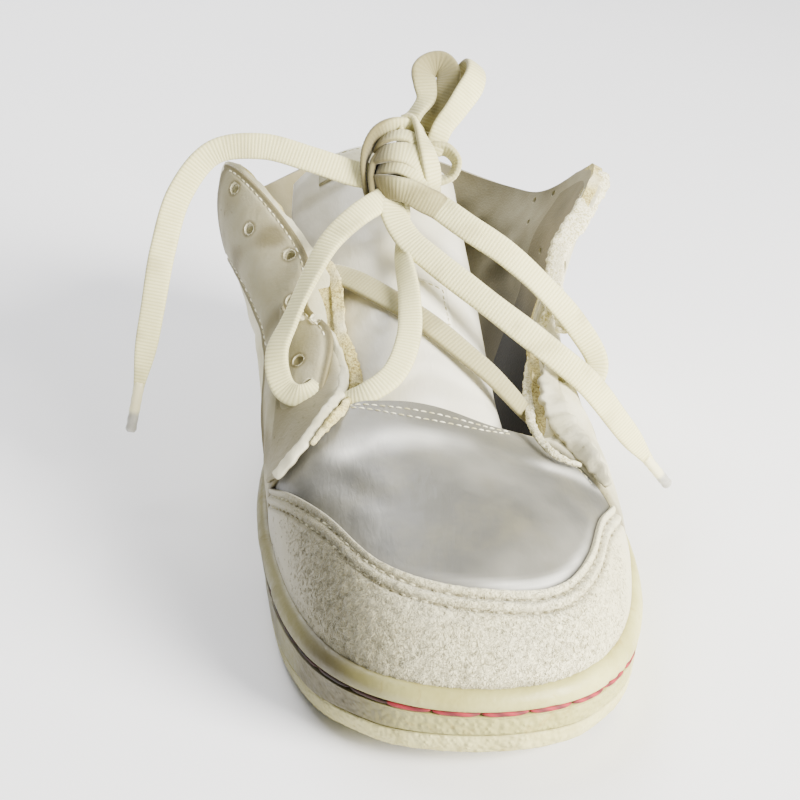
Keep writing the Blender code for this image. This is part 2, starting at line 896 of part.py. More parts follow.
clear_scene()
add_outsole(TREAD_RUBBER)
add_midsole(CUP_RUBBER)
add_insole(LINING)
add_upper(LEATHER)
for overlay in PANELS:
    add_panel(overlay, SUEDE if overlay.name == "toe_cap" else LEATHER)
cut_eyelets()
add_tongue(SATIN, LEATHER)
add_lace(LACE, TIP)
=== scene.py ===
"""Dresses the worn low sneaker: cup sole, hairy toe cap, satin vamp and tongue, torn flaps and a flat lace.

Sizes in the tables and functions are millimetres, and the meshes are metres. The skin of the upper is read
by `turn`, from the heel (0) along the lateral side, the toe (12) and the medial side back to the heel (24),
and by `climb`, from the feather line (0) to the rim of collar and throat (1).
"""

import itertools
import logging
import math
from dataclasses import dataclass
from enum import Enum
from typing import Callable, Sequence

import bpy
import numpy as np
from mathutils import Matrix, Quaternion, Vector

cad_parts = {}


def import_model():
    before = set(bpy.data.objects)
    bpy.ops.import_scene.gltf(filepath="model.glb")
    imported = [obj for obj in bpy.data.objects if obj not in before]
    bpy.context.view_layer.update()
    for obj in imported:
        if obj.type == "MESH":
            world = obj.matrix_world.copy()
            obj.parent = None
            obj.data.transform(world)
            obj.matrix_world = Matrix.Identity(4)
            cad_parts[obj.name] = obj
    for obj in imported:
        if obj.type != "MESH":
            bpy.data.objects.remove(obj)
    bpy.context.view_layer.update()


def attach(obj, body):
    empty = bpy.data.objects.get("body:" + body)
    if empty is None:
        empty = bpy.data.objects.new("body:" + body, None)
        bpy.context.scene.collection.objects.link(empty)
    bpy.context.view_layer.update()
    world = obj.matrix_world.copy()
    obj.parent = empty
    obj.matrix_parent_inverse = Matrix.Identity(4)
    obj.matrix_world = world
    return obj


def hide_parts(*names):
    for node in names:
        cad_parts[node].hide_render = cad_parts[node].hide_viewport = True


LOG = logging.getLogger("sneaker")
MM = 0.001
METRE = 1000.0  # millimetres in a metre: METRE / size gives a pattern its scale
TURNS = 24
TO_VIEWER = np.array((0.04, -0.91, 0.41))  # from the shoe toward the camera

Array = np.ndarray
Place = Callable[[Array, Array], Array]


# ---- number helpers


def ramp(value: Array, low: float, high: float) -> Array:
    """Height of a smooth ramp, 0 where the value is low or less and 1 from high on."""
    part = np.clip((np.asarray(value, float) - low) / (high - low), 0.0, 1.0)
    return part * part * (3 - 2 * part)


def bell(value: Array, middle: float, width: float) -> Array:
    """A soft hump of height 1 at middle that fades over width."""
    return np.exp(-(((np.asarray(value, float) - middle) / width) ** 2))


def uneven(points: Array, size: float, seed: int = 0) -> Array:
    """Smooth random heights with bumps of about one size.

    Args:
        points: Rows of x, y and z in millimetres.
        size: Distance between bumps in millimetres.
        seed: Chooses the pattern.

    Returns:
        Heights from -1 to 1, one for each row.
    """
    place = np.asarray(points, float) / size + 17.3 * seed + 1000.0
    cell = np.floor(place).astype(np.int64)
    part = place - cell
    part = part * part * (3 - 2 * part)
    total = np.zeros(len(place))
    for corner in itertools.product((0, 1), repeat=3):
        step = np.array(corner)
        weight = np.prod(np.where(step, part, 1 - part), axis=1)
        key = (cell + step) @ np.array((73856093, 19349663, 83492791))
        key = ((key ^ (key >> 13)) * 1274126177) & 0x7FFFFFFF
        key = ((key ^ (key >> 11)) * 668265263) & 0x7FFFFFFF
        total += weight * (key / 0x3FFFFFFF - 1)
    return total


def hermite(low: Array, high: Array, slope_low: Array, slope_high: Array, part: Array) -> Array:
    """The cubic from low to high that has the two slopes, at part from 0 to 1.

    Args:
        low: First value.
        high: Last value.
        slope_low: Slope at the first value.
        slope_high: Slope at the last value.
        part: Places between them, 0 to 1.

    Returns:
        Values at part.
    """
    squared, cubed = part**2, part**3
    return (
        (2 * cubed - 3 * squared + 1) * low
        + (cubed - 2 * squared + part) * slope_low
        + (3 * squared - 2 * cubed) * high
        + (cubed - squared) * slope_high
    )


def through(table: Sequence[Sequence[float]], where: Array) -> Array:
    """Reads a smooth curve through a short table.

    Args:
        table: Rows whose first number is the place along the curve, in rising order.
        where: Places at which to read it.

    Returns:
        The other columns at each place.
    """
    rows = np.array(table, float)
    places, values = rows[:, 0], rows[:, 1:]
    slopes = np.gradient(values, places, axis=0)
    where = np.clip(np.atleast_1d(where), places[0], places[-1])
    index = np.clip(np.searchsorted(places, where, "right") - 1, 0, len(places) - 2)
    span = (places[index + 1] - places[index])[:, None]
    part = (where - places[index])[:, None] / span
    return hermite(
        values[index], values[index + 1], span * slopes[index], span * slopes[index + 1], part
    )


def unit(rows: Array) -> Array:
    """Rows scaled to length 1."""
    return rows / np.maximum(np.linalg.norm(rows, axis=-1, keepdims=True), 1e-9)


def fringe(low: float, high: float, count: int, unit_mm: float) -> Array:
    """Places in count even steps, crowded at both ends so that a cut edge can be rounded."""
    edge = np.array((0.0, 0.07, 0.25, 0.55, 1.0)) / unit_mm
    return np.concatenate([low + edge, np.linspace(low, high, count + 1)[1:-1], high - edge[::-1]])


# ---- the last


@dataclass(frozen=True)
class Rib:
    """One rib of the last: foot on the feather line, belly and brow as handles, rim at the opening."""

    name: str
    foot: tuple
    belly: tuple
    brow: tuple
    rim: tuple


@dataclass(frozen=True)
class Station:
    """Heights of the tread and of the sole's lip above the floor at one place along the shoe."""

    y: float
    tread: float
    lip: float


@dataclass(frozen=True)
class Crease:
    """A soft trough with a ridge on each side, drawn on the skin from one place to another.

    Args:
        start: Turn and climb where it begins.
        end: Turn and climb where it ends.
        width: Half width of the trough in millimetres.
        depth: Depth in millimetres, negative for a ridge.
    """

    start: tuple
    end: tuple
    width: float
    depth: float


RIBS = (
    Rib("heel", (0, 44.5), (0, 55, 40), (-2, 37, 66), (-3, 43, 88)),
    Rib("heel_lateral", (-19, 38.5), (-24, 47, 40), (-19, 32, 66), (-20, 38, 87)),
    Rib("heel_side_lateral", (-30, 20), (-37, 23, 40), (-32, 18, 66), (-38, 21, 84)),
    Rib("ankle_lateral", (-32, -8), (-38, -8, 42), (-46, -6, 66), (-53, -3, 84)),
    Rib("collar_lateral", (-33, -38), (-41, -38, 45), (-65, -38, 70), (-63, -34, 94)),
    Rib("tip_lateral", (-36, -66), (-45, -66, 48), (-74, -66, 86), (-58, -60, 111)),
    Rib("stay_middle_lateral", (-40, -92), (-50, -92, 48), (-67, -96, 82), (-32, -94, 89)),
    Rib("stay_front_lateral", (-44, -118), (-53, -118, 44), (-58, -122, 68), (-26, -119, 73)),
    Rib("corner_lateral", (-46, -146), (-53, -146, 38), (-49, -143, 58), (-33, -141, 57.5)),
    Rib("vamp_lateral", (-45, -175), (-50, -176, 38), (-44, -160, 58), (-26, -150, 62.5)),
    Rib("toe_side_lateral", (-39, -209), (-43, -215, 40), (-29, -180, 56), (-17, -151, 64.5)),
    Rib("toe_lateral", (-22.5, -235), (-26, -244, 42), (-16, -205, 54), (-8, -152, 64.5)),
    Rib("toe", (5, -245), (5, -254, 44), (2, -212, 53.5), (1, -152, 62.5)),
    Rib("toe_medial", (30.5, -236.5), (34.5, -245, 42), (22, -206, 53), (9, -152, 59.5)),
    Rib("toe_side_medial", (46.5, -212), (51, -217, 40), (38, -184, 52.5), (18, -151, 55.5)),
    Rib("vamp_medial", (52.5, -182), (58.5, -182, 38), (49, -163, 52), (27, -148, 51.5)),
    Rib("corner_medial", (52, -152), (59, -152, 38), (53, -146, 54), (33, -140, 49.5)),
    Rib("stay_front_medial", (46, -124), (53, -124, 40), (54, -122, 60), (34, -121, 61)),
    Rib("stay_middle_medial", (40, -96), (46, -96, 46), (50, -94, 72), (42, -92, 78)),
    Rib("tip_medial", (34, -66), (40, -66, 46), (50, -64, 80), (66, -60, 107)),
    Rib("collar_medial", (32, -38), (39, -38, 44), (50, -36, 70), (58, -31, 94)),
    Rib("ankle_medial", (31, -8), (37, -8, 42), (44, -6, 66), (50, -3, 84)),
    Rib("heel_side_medial", (29, 20), (35, 23, 40), (32, 20, 66), (38, 20, 82)),
    Rib("heel_medial", (18, 38.5), (22, 47, 40), (16, 34, 66), (18, 38, 85)),
)
STATIONS = (
    Station(-252, 7.5, 26.5),
    Station(-235, 4.6, 26.0),
    Station(-215, 1.9, 25.5),
    Station(-190, 0.0, 25.0),
    Station(-110, 0.0, 26.0),
    Station(-70, 2.2, 28.0),
    Station(-32, 0.0, 30.0),
    Station(40, 0.0, 31.0),
    Station(54, 1.2, 31.5),
)
CREASES = (
    Crease((9.3, 0.72), (14.4, 0.74), 5.0, 0.7),
    Crease((9.0, 0.60), (11.2, 0.66), 3.5, 0.5),
    Crease((12.6, 0.60), (14.6, 0.60), 4.0, 0.45),
    Crease((7.2, 0.30), (6.2, 0.62), 3.0, 0.9),
    Crease((7.8, 0.25), (7.2, 0.55), 2.5, 0.7),
    Crease((5.2, 0.25), (5.9, 0.55), 3.5, 0.8),
    Crease((15.4, 0.35), (16.2, 0.60), 2.5, 0.7),
    Crease((16.6, 0.25), (16.9, 0.60), 3.0, 0.8),
    Crease((18.2, 0.30), (17.8, 0.58), 3.5, 0.8),
    Crease((2.6, 0.40), (3.6, 0.70), 4.0, 1.0),
    Crease((1.6, 0.55), (2.6, 0.80), 3.5, 0.8),
    Crease((21.4, 0.45), (20.2, 0.70), 4.0, 1.0),
    Crease((22.6, 0.55), (21.4, 0.80), 3.5, 0.8),
)


class Last:
    """The form that every piece of the shoe is laid on."""

    WALL = 2.5
    COLLAR_PAD = 3.5
    CUP_FLOOR = 12.0
    GAP = 0.3

    def __init__(self) -> None:
        """Works out the closed smooth curve through the ribs."""
        self.table = np.array([(*rib.foot, *rib.belly, *rib.brow, *rib.rim) for rib in RIBS], float)
        system = 4 * np.eye(TURNS) + np.roll(np.eye(TURNS), 1, 0) + np.roll(np.eye(TURNS), -1, 0)
        ahead, behind = np.roll(self.table, -1, 0), np.roll(self.table, 1, 0)
        self.slopes = np.linalg.solve(system, 3 * (ahead - behind))
        self.station_rows = np.array([(s.y, s.tread, s.lip) for s in STATIONS], float)

    def rib(self, turn: Array) -> Array:
        """The eleven numbers of the rib at each turn.

        Args:
            turn: Places round the shoe.

        Returns:
            One row for each turn.
        """
        turn = np.asarray(turn, float)
        index = np.floor(turn).astype(int) % TURNS
        after = (index + 1) % TURNS
        part = (turn - np.floor(turn))[:, None]
        return hermite(
            self.table[index], self.table[after], self.slopes[index], self.slopes[after], part
        )

    def station(self, column: int, y: Array) -> Array:
        """Height of the tread (column 1) or of the lip (column 2) at y.

        Args:
            column: 1 for the tread or 2 for the lip.
            y: Distances ahead in millimetres.

        Returns:
            Heights in millimetres.
        """
        ys, heights = self.station_rows[:, 0], self.station_rows[:, column]
        y = np.clip(y, ys[0], ys[-1])
        index = np.clip(np.searchsorted(ys, y, "right") - 1, 0, len(ys) - 2)
        part = (y - ys[index]) / (ys[index + 1] - ys[index])
        part = part * part * (3 - 2 * part)
        return heights[index] + (heights[index + 1] - heights[index]) * part

    def tread(self, turn: Array) -> Array:
        """Height of the tread under each turn."""
        return self.station(1, self.rib(turn)[:, 1])

    def lip(self, turn: Array) -> Array:
        """Height of the sole's lip at each turn."""
        return self.station(2, self.rib(turn)[:, 1])

    def bare(self, turn: Array, climb: Array) -> Array:
        """Points of the skin without creases.

        Args:
            turn: Places round the shoe.
            climb: Places up the ribs.

        Returns:
            Rows of x, y and z in millimetres.
        """
        row = self.rib(turn)
        foot = np.column_stack([row[:, 0], row[:, 1], self.tread(turn) + self.CUP_FLOOR + self.GAP])
        climb = np.asarray(climb, float)[:, None]
        rest = 1 - climb
        return (
            rest**3 * foot
            + 3 * rest**2 * climb * row[:, 2:5]
            + 3 * rest * climb**2 * row[:, 5:8]
            + climb**3 * row[:, 8:11]
        )

    def normal(self, turn: Array, climb: Array) -> Array:
        """Outward normals of the skin without creases.

        Args:
            turn: Places round the shoe.
            climb: Places up the ribs.

        Returns:
            Rows of length 1.
        """
        turn, climb = np.asarray(turn, float), np.asarray(climb, float)
        step = 0.02
        along = self.bare(turn + step, climb) - self.bare(turn - step, climb)
        up = self.bare(turn, np.minimum(climb + step, 1)) - self.bare(turn, np.maximum(climb - step, 0))
        return unit(np.cross(along, up))

    def folds(self, turn: Array, climb: Array) -> Array:
        """How far the creases lift the skin, in millimetres.

        Args:
            turn: Places round the shoe.
            climb: Places up the ribs.

        Returns:
            Lifts, one for each place.
        """
        here = self.bare(turn, climb)
        lift = np.zeros(len(here))
        for crease in CREASES:
            ends = np.array((crease.start, crease.end), float)
            first, last = self.bare(ends[:, 0], ends[:, 1])
            axis = last - first
            along = np.clip(((here - first) @ axis) / (axis @ axis), -0.2, 1.2)
            away = np.linalg.norm(here - first - along[:, None] * axis, axis=1)
            fade = ramp(along, -0.15, 0.25) * (1 - ramp(along, 0.75, 1.15))
            shape = bell(away, 0, crease.width) - 0.55 * bell(away, 1.9 * crease.width, crease.width)
            lift -= crease.depth * fade * shape
        return lift

    def at(self, turn: Array, climb: Array, lift: Array = 0.0) -> Array:
        """Points at a distance of lift outside the creased skin.

        Args:
            turn: Places round the shoe.
            climb: Places up the ribs, of the same length.
            lift: Distance outward in millimetres, one number or one for each place.

        Returns:
            Rows of x, y and z in millimetres.
        """
        turn, climb = np.broadcast_arrays(np.atleast_1d(turn), np.atleast_1d(climb))
        lift = np.broadcast_to(lift, turn.shape) + self.folds(turn, climb)
        return self.bare(turn, climb) + lift[:, None] * self.normal(turn, climb)

    def outward(self, turn: Array) -> Array:
        """Level directions out of the shoe at the feather line."""
        along = self.rib(np.asarray(turn) + 0.05)[:, :2] - self.rib(np.asarray(turn) - 0.05)[:, :2]
        return unit(np.column_stack([along[:, 1], -along[:, 0], np.zeros(len(along))]))

    def climb_at(self, turn: Array, height: Array) -> Array:
        """The climb at which each rib first reaches a height.

        Args:
            turn: Places round the shoe.
            height: Heights in millimetres.

        Returns:
            Climbs, one for each turn.
        """
        low, high = np.zeros(len(turn)), np.full(len(turn), 0.5)
        for _ in range(20):
            middle = (low + high) / 2
            below = self.bare(turn, middle)[:, 2] < height
            low, high = np.where(below, middle, low), np.where(below, high, middle)
        return (low + high) / 2

    def beside(self, turn: Array, height: Array, out: Array) -> Array:
        """Points of the sole's side: level with height and moved outward from the skin.

        Args:
            turn: Places round the shoe.
            height: Heights in millimetres.
            out: Distances outward in millimetres.

        Returns:
            Rows of x, y and z in millimetres.
        """
        turn, height = np.broadcast_arrays(np.atleast_1d(turn), np.atleast_1d(height))
        base = self.tread(turn) + self.CUP_FLOOR + self.GAP
        climb = np.where(height > base, self.climb_at(turn, height), 0.0)
        point = self.bare(turn, climb).copy()
        point[:, 2] = height
        return point + np.asarray(out).reshape(-1, 1) * self.outward(turn)

    def wall(self, turn: Array, climb: Array) -> Array:
        """Thickness of leather and lining with the collar's foam.

        Args:
            turn: Places round the shoe.
            climb: Places up the ribs.

        Returns:
            Millimetres, one for each place.
        """
        around_heel = np.minimum(np.mod(turn, TURNS), TURNS - np.mod(turn, TURNS))
        foam = np.sin(np.pi * ramp(climb, 0.45, 1.0)) * (1 - ramp(around_heel, 4.0, 5.5))
        return self.WALL + self.COLLAR_PAD * foam


LAST = Last()


# ---- mesh helpers


def deselect() -> None:
    """Leaves edit mode and deselects everything."""
    if bpy.context.object and bpy.context.object.mode != "OBJECT":
        bpy.ops.object.mode_set(mode="OBJECT")
    bpy.ops.object.select_all(action="DESELECT")


def only(obj: bpy.types.Object) -> None:
    """Makes one object the selected and active one.

    Args:
        obj: The piece.
    """
    deselect()
    obj.select_set(True)
    bpy.context.view_layer.objects.active = obj


def coordinates(obj: bpy.types.Object) -> Array:
    """The object's vertices in millimetres.

    Args:
        obj: The piece.

    Returns:
        Rows of x, y and z.
    """
    flat = np.empty(len(obj.data.vertices) * 3)
    obj.data.vertices.foreach_get("co", flat)
    return flat.reshape(-1, 3) / MM


def set_coordinates(obj: bpy.types.Object, points: Array) -> None:
    """Puts the object's vertices at points in millimetres."""
    obj.data.vertices.foreach_set("co", (np.asarray(points) * MM).ravel())
    obj.data.update()


def note(obj: bpy.types.Object, name: str, values: Array) -> None:
    """Keeps one number for each vertex, for a material to read.

    Args:
        obj: The piece.
        name: The attribute's name.
        values: One number for all vertices or one for each.
    """
    layer = obj.data.attributes.get(name) or obj.data.attributes.new(name, "FLOAT", "POINT")
    every = np.broadcast_to(values, (len(obj.data.vertices),))
    layer.data.foreach_set("value", every.astype(np.float32))


def lattice(name: str, across: Array, up: Array, place: Place, scale: tuple = (1.0, 1.0)) -> bpy.types.Object:
    """Adds a grid and lays it on a surface.

    Args:
        name: The piece's name.
        across: First surface number of each column.
        up: Second surface number of each row.
        place: Gives the points, in millimetres, for the two numbers.
        scale: Millimetres in one unit of each number, for the UV map.

    Returns:
        The grid, with its u and v kept for each vertex.
    """
    deselect()
    columns, rows = len(across) - 1, len(up) - 1
    bpy.ops.mesh.primitive_grid_add(x_subdivisions=columns, y_subdivisions=rows, size=1.0)
    obj = bpy.context.object
    obj.name = obj.data.name = name
    flat = np.empty(len(obj.data.vertices) * 3)
    obj.data.vertices.foreach_get("co", flat)
    grid = flat.reshape(-1, 3)[:, :2] + 0.5
    first = np.asarray(across)[np.rint(grid[:, 0] * columns).astype(int)]
    second = np.asarray(up)[np.rint(grid[:, 1] * rows).astype(int)]
    set_coordinates(obj, place(first, second))
    note(obj, "u", first)
    note(obj, "v", second)
    corners = np.empty(len(obj.data.loops), np.int64)
    obj.data.loops.foreach_get("vertex_index", corners)
    spread = np.column_stack([first[corners] * scale[0], second[corners] * scale[1]])
    obj.data.uv_layers[0].data.foreach_set("uv", spread.ravel())
    return obj


def read(obj: bpy.types.Object, name: str) -> Array:
    """The numbers that note() kept.

    Args:
        obj: The piece.
        name: The attribute's name.

    Returns:
        One number for each vertex.
    """
    values = np.empty(len(obj.data.vertices), np.float32)
    obj.data.attributes[name].data.foreach_get("value", values)
    return values.astype(float)


def weld(obj: bpy.types.Object, distance: float = 0.002) -> None:
    """Joins vertices that lie together, closing seams and poles, and turns the faces outward.

    Args:
        obj: The piece.
        distance: Reach in millimetres.
    """
    only(obj)
    bpy.ops.object.mode_set(mode="EDIT")
    bpy.ops.mesh.select_all(action="SELECT")
    bpy.ops.mesh.remove_doubles(threshold=distance * MM)
    bpy.ops.mesh.dissolve_degenerate(threshold=0.0002 * MM)
    bpy.ops.mesh.normals_make_consistent(inside=False)
    bpy.ops.object.mode_set(mode="OBJECT")


def soften(obj: bpy.types.Object, degrees: float = 40.0) -> bpy.types.Object:
    """Shades the piece smooth, except where it turns sharply.

    Args:
        obj: The piece.
        degrees: Least turn that stays sharp.

    Returns:
        The same piece.
    """
    only(obj)
    bpy.ops.object.shade_smooth_by_angle(angle=math.radians(degrees))
    return obj


def join(pieces: Sequence[bpy.types.Object], name: str) -> bpy.types.Object:
    """Makes one object of several.

    Args:
        pieces: The objects to join.
        name: The new object's name.

    Returns:
        The joined object.
    """
    deselect()
    for piece in pieces:
        piece.select_set(True)
    bpy.context.view_layer.objects.active = pieces[0]
    bpy.ops.object.join()
    joined = bpy.context.object
    joined.name = joined.data.name = name
    return joined


def pillow(
    name: str, across: Array, up: Array, surface: Callable, thick: Callable,
    seat: float, scale: tuple, edge: float,
) -> bpy.types.Object:
    """A closed sheet with a rounded cut edge, lying on a surface.

    Args:
        name: The piece's name.
        across: First surface number of each column, crowded at the ends.
        up: Second surface number of each row, crowded at the ends.
        surface: Gives the points for the two numbers and a lift in millimetres.
        thick: Gives the thickness for the two numbers.
        seat: Lift of the sheet's underside.
        scale: Millimetres in one unit of each number.
        edge: Distance over which the edge is rounded.

    Returns:
        The sheet, with "top" 1 on its outer face and 0 underneath.
    """

    def rounding(first: Array, second: Array) -> Array:
        """Share of the thickness, which falls to 0 at the edges.

        Args:
            first: First surface numbers.
            second: Second surface numbers.

        Returns:
            Shares, 0 to 1.
        """
        sides = (
            (first - across[0]) * scale[0],
            (across[-1] - first) * scale[0],
            (second - up[0]) * scale[1],
            (up[-1] - second) * scale[1],
        )
        near = np.clip(np.minimum.reduce([np.abs(side) for side in sides]) / edge, 0, 1)
        return np.sqrt(1 - (1 - near) ** 2)

    def top(first: Array, second: Array) -> Array:
        """Points of the outer face."""
        return surface(first, second, seat + thick(first, second) * rounding(first, second))

    def bottom(first: Array, second: Array) -> Array:
        """Points of the underside."""
        return surface(first, second, np.full(len(first), seat))

    outer = lattice(name, across, up, top, scale)
    note(outer, "top", 1.0)
    inner = lattice(name + "_under", across, up, bottom, scale)
    note(inner, "top", 0.0)
    made = join([outer, inner], name)
    weld(made)
    return made


def scatter(name: str, model: bpy.types.Object, places: Array) -> bpy.types.Object:
    """Copies a small model to many places as one mesh.

    Args:
        name: The new piece's name.
        model: The mesh to copy, which is removed.
        places: An array of 4 x 4 matrices in millimetres.

    Returns:
        The joined copies.
    """
    corners = coordinates(model)
    faces = [tuple(face.vertices) for face in model.data.polygons]
    count = len(corners)
    spread = np.einsum("nij,vj->nvi", places[:, :3, :3], corners) + places[:, None, :3, 3]
    every = [tuple(index + start * count for index in face) for start in range(len(places)) for face in faces]
    mesh = bpy.data.meshes.new(name)
    mesh.from_pydata((spread.reshape(-1, 3) * MM).tolist(), [], every)
    mesh.update()
    obj = bpy.data.objects.new(name, mesh)
    bpy.context.scene.collection.objects.link(obj)
    bpy.data.objects.remove(model)
    obj.data.shade_smooth()
    return obj


def bead(length: float, radius: float, sides: int = 6, rings: int = 6) -> bpy.types.Object:
    """A stitch: a rounded rod along X whose ends dip.

    Args:
        length: Length in millimetres.
        radius: Radius in millimetres.
        sides: Sides of the rod.
        rings: Rings along it.

    Returns:
        The rod, at the origin.
    """
    deselect()
    bpy.ops.mesh.primitive_uv_sphere_add(segments=sides, ring_count=rings, radius=1.0)
    obj = bpy.context.object
    bpy.ops.object.mode_set(mode="EDIT")
    bpy.ops.mesh.select_all(action="SELECT")
    bpy.ops.transform.rotate(value=math.pi / 2, orient_axis="Y", center_override=(0, 0, 0))
    bpy.ops.object.mode_set(mode="OBJECT")
    points = coordinates(obj) * MM
    reach = np.sign(points[:, 0]) * np.abs(points[:, 0]) ** 0.7
    dip = points[:, 2] * radius - 0.9 * radius * reach**4
    rod = np.column_stack([reach * length / 2, points[:, 1] * radius, dip])
    obj.data.vertices.foreach_set("co", (rod * MM).ravel())
    return obj


def frames_along(points: Array, normals: Array, pitch: float) -> Array:
    """Matrices at even distances along a line on a surface.

    Args:
        points: The line, in millimetres.
        normals: The surface's normals at the line's points.
        pitch: Distance from one matrix to the next.

    Returns:
        Matrices whose X runs along the line and whose Z is the normal.
    """
    reach = np.concatenate([[0], np.cumsum(np.linalg.norm(np.diff(points, axis=0), axis=1))])
    wanted = np.arange(pitch / 2, reach[-1], pitch)
    place = np.column_stack([np.interp(wanted, reach, points[:, i]) for i in range(3)])
    up = unit(np.column_stack([np.interp(wanted, reach, normals[:, i]) for i in range(3)]))
    before = np.column_stack([np.interp(wanted - pitch / 3, reach, points[:, i]) for i in range(3)])
    after = np.column_stack([np.interp(wanted + pitch / 3, reach, points[:, i]) for i in range(3)])
    along = unit(after - before)
    side = unit(np.cross(up, along))
    places = np.tile(np.eye(4), (len(wanted), 1, 1))
    places[:, :3, 0], places[:, :3, 1] = along, side
    places[:, :3, 2], places[:, :3, 3] = np.cross(along, side), place
    return places


# ---- finishes


def linear(colour: str) -> tuple:
    """Turns an sRGB hex colour to the linear red, green, blue and alpha that a shader takes."""
    parts = [int(colour[i : i + 2], 16) / 255 for i in (1, 3, 5)]
    return (*[p / 12.92 if p <= 0.04045 else ((p + 0.055) / 1.055) ** 2.4 for p in parts], 1.0)


def fill(tree: bpy.types.NodeTree, node: bpy.types.Node, inputs: dict) -> None:
    """Sets a node's sockets, or links them where a value is another node's socket.

    Args:
        tree: The material's nodes.
        node: The node.
        inputs: Socket name or number to its value.
    """
    for name, value in inputs.items():
        if isinstance(value, bpy.types.NodeSocket):
            tree.links.new(value, node.inputs[name])
        else:
            node.inputs[name].default_value = value


def add(
    tree: bpy.types.NodeTree, kind: str, inputs: dict, out: str | int = 0, **settings: object
) -> bpy.types.NodeSocket:
    """Adds a node with its settings and links.

    Args:
        tree: The material's nodes.
        kind: The node's type after "ShaderNode".
        inputs: Socket name or number to a value or to another node's socket.
        out: Name or number of the output that is wanted.
        settings: The node's own settings.

    Returns:
        The wanted output.
    """
    made = tree.nodes.new("ShaderNode" + kind)
    for name, value in settings.items():
        setattr(made, name, value)
    fill(tree, made, inputs)
    return made.outputs[out]


def blank(name: str) -> tuple:
    """Starts a material.

    Args:
        name: The material's name.

    Returns:
        The material, its tree, its shader and its object coordinates.
    """
    made = bpy.data.materials.new(name)
    made.use_nodes = True
    tree = made.node_tree
    return made, tree, tree.nodes["Principled BSDF"], add(tree, "TexCoord", {}, "Object")


class Fold(Enum):
    """Directions in which a lace's flat face can be turned by default."""

    VIEWER = (0.04, -0.91, 0.41)
    UP = (0.0, -0.35, 0.94)


@dataclass(frozen=True)
class Satin:
    """Polyurethane-coated satin over foam: smooth, dulled by wear, with hair-thin lengthwise crinkles."""

    name: str = "coated_satin"
    base: str = "#4f4e46"
    pale: str = "#7b796f"
    yellowed: str = "#686450"
    dirt_and_shade: str = "#57523f"
    roughness: float = 0.4
    # colour of the painted highlights on the vamp
    highlight_colour: str = "#dcdbd4"
    patch_mm: float = 38
    stain_mm: float = 22
    lump_mm: float = 9
    crinkle_mm: float = 1.6

    def material(self) -> bpy.types.Material:
        """Builds the material, which reads "soil" for dirt with painted shade, and "gleam" for painted
        highlights on the vamp.

        Returns:
            The finished material.
        """
        made, tree, shader, place = blank(self.name)
        broad = add(tree, "TexNoise", {"Vector": place, "Scale": METRE / self.patch_mm, "Detail": 3})
        pale = add(tree, "MapRange", {0: broad, 1: 0.42, 2: 0.66})
        stain = {"Vector": place, "Scale": METRE / self.stain_mm, "Detail": 4, "Roughness": 0.65}
        other = add(tree, "TexNoise", stain)
        warm = add(tree, "MapRange", {0: other, 1: 0.5, 2: 0.75, 4: 0.75})
        soil_and_shade = add(tree, "Attribute", {}, "Fac", attribute_name="soil_and_shade")
        # dirt, and on the tongue painted shade, darken the satin
        soiled_and_shaded = add(tree, "Math", {0: soil_and_shade, 1: 0.85}, operation="MULTIPLY")
        painted_highlight = add(tree, "Attribute", {}, "Fac", attribute_name="painted_highlight")
        tone = linear(self.base)
        layers = (pale, self.pale), (warm, self.yellowed), (soiled_and_shaded, self.dirt_and_shade), (painted_highlight, self.highlight_colour)
        for share, colour in layers:
            tone = add(tree, "Mix", {0: share, 6: tone, 7: linear(colour)}, 2, data_type="RGBA")
        drawn = add(tree, "Mapping", {"Vector": place, "Scale": (1.0, 0.28, 0.45)})
        fine = {"Vector": drawn, "Scale": METRE / self.crinkle_mm, "Detail": 3, "Distortion": 0.6}
        crinkle = add(tree, "TexNoise", fine)
        lumps = add(tree, "TexNoise", {"Vector": place, "Scale": METRE / self.lump_mm, "Detail": 2})
        height = add(tree, "Math", {0: lumps, 1: 3.0, 2: crinkle}, operation="MULTIPLY_ADD")
        bump = add(tree, "Bump", {"Height": height, "Distance": 0.00022, "Strength": 0.55})
        gloss = add(tree, "MapRange", {0: other, 3: self.roughness - 0.06, 4: self.roughness + 0.14})
        fill(tree, shader, {"Base Color": tone, "Normal": bump, "Roughness": gloss})
        fill(tree, shader, {"Coat Weight": 0.12, "Coat Roughness": 0.35, "Sheen Weight": 0.15})
        return made


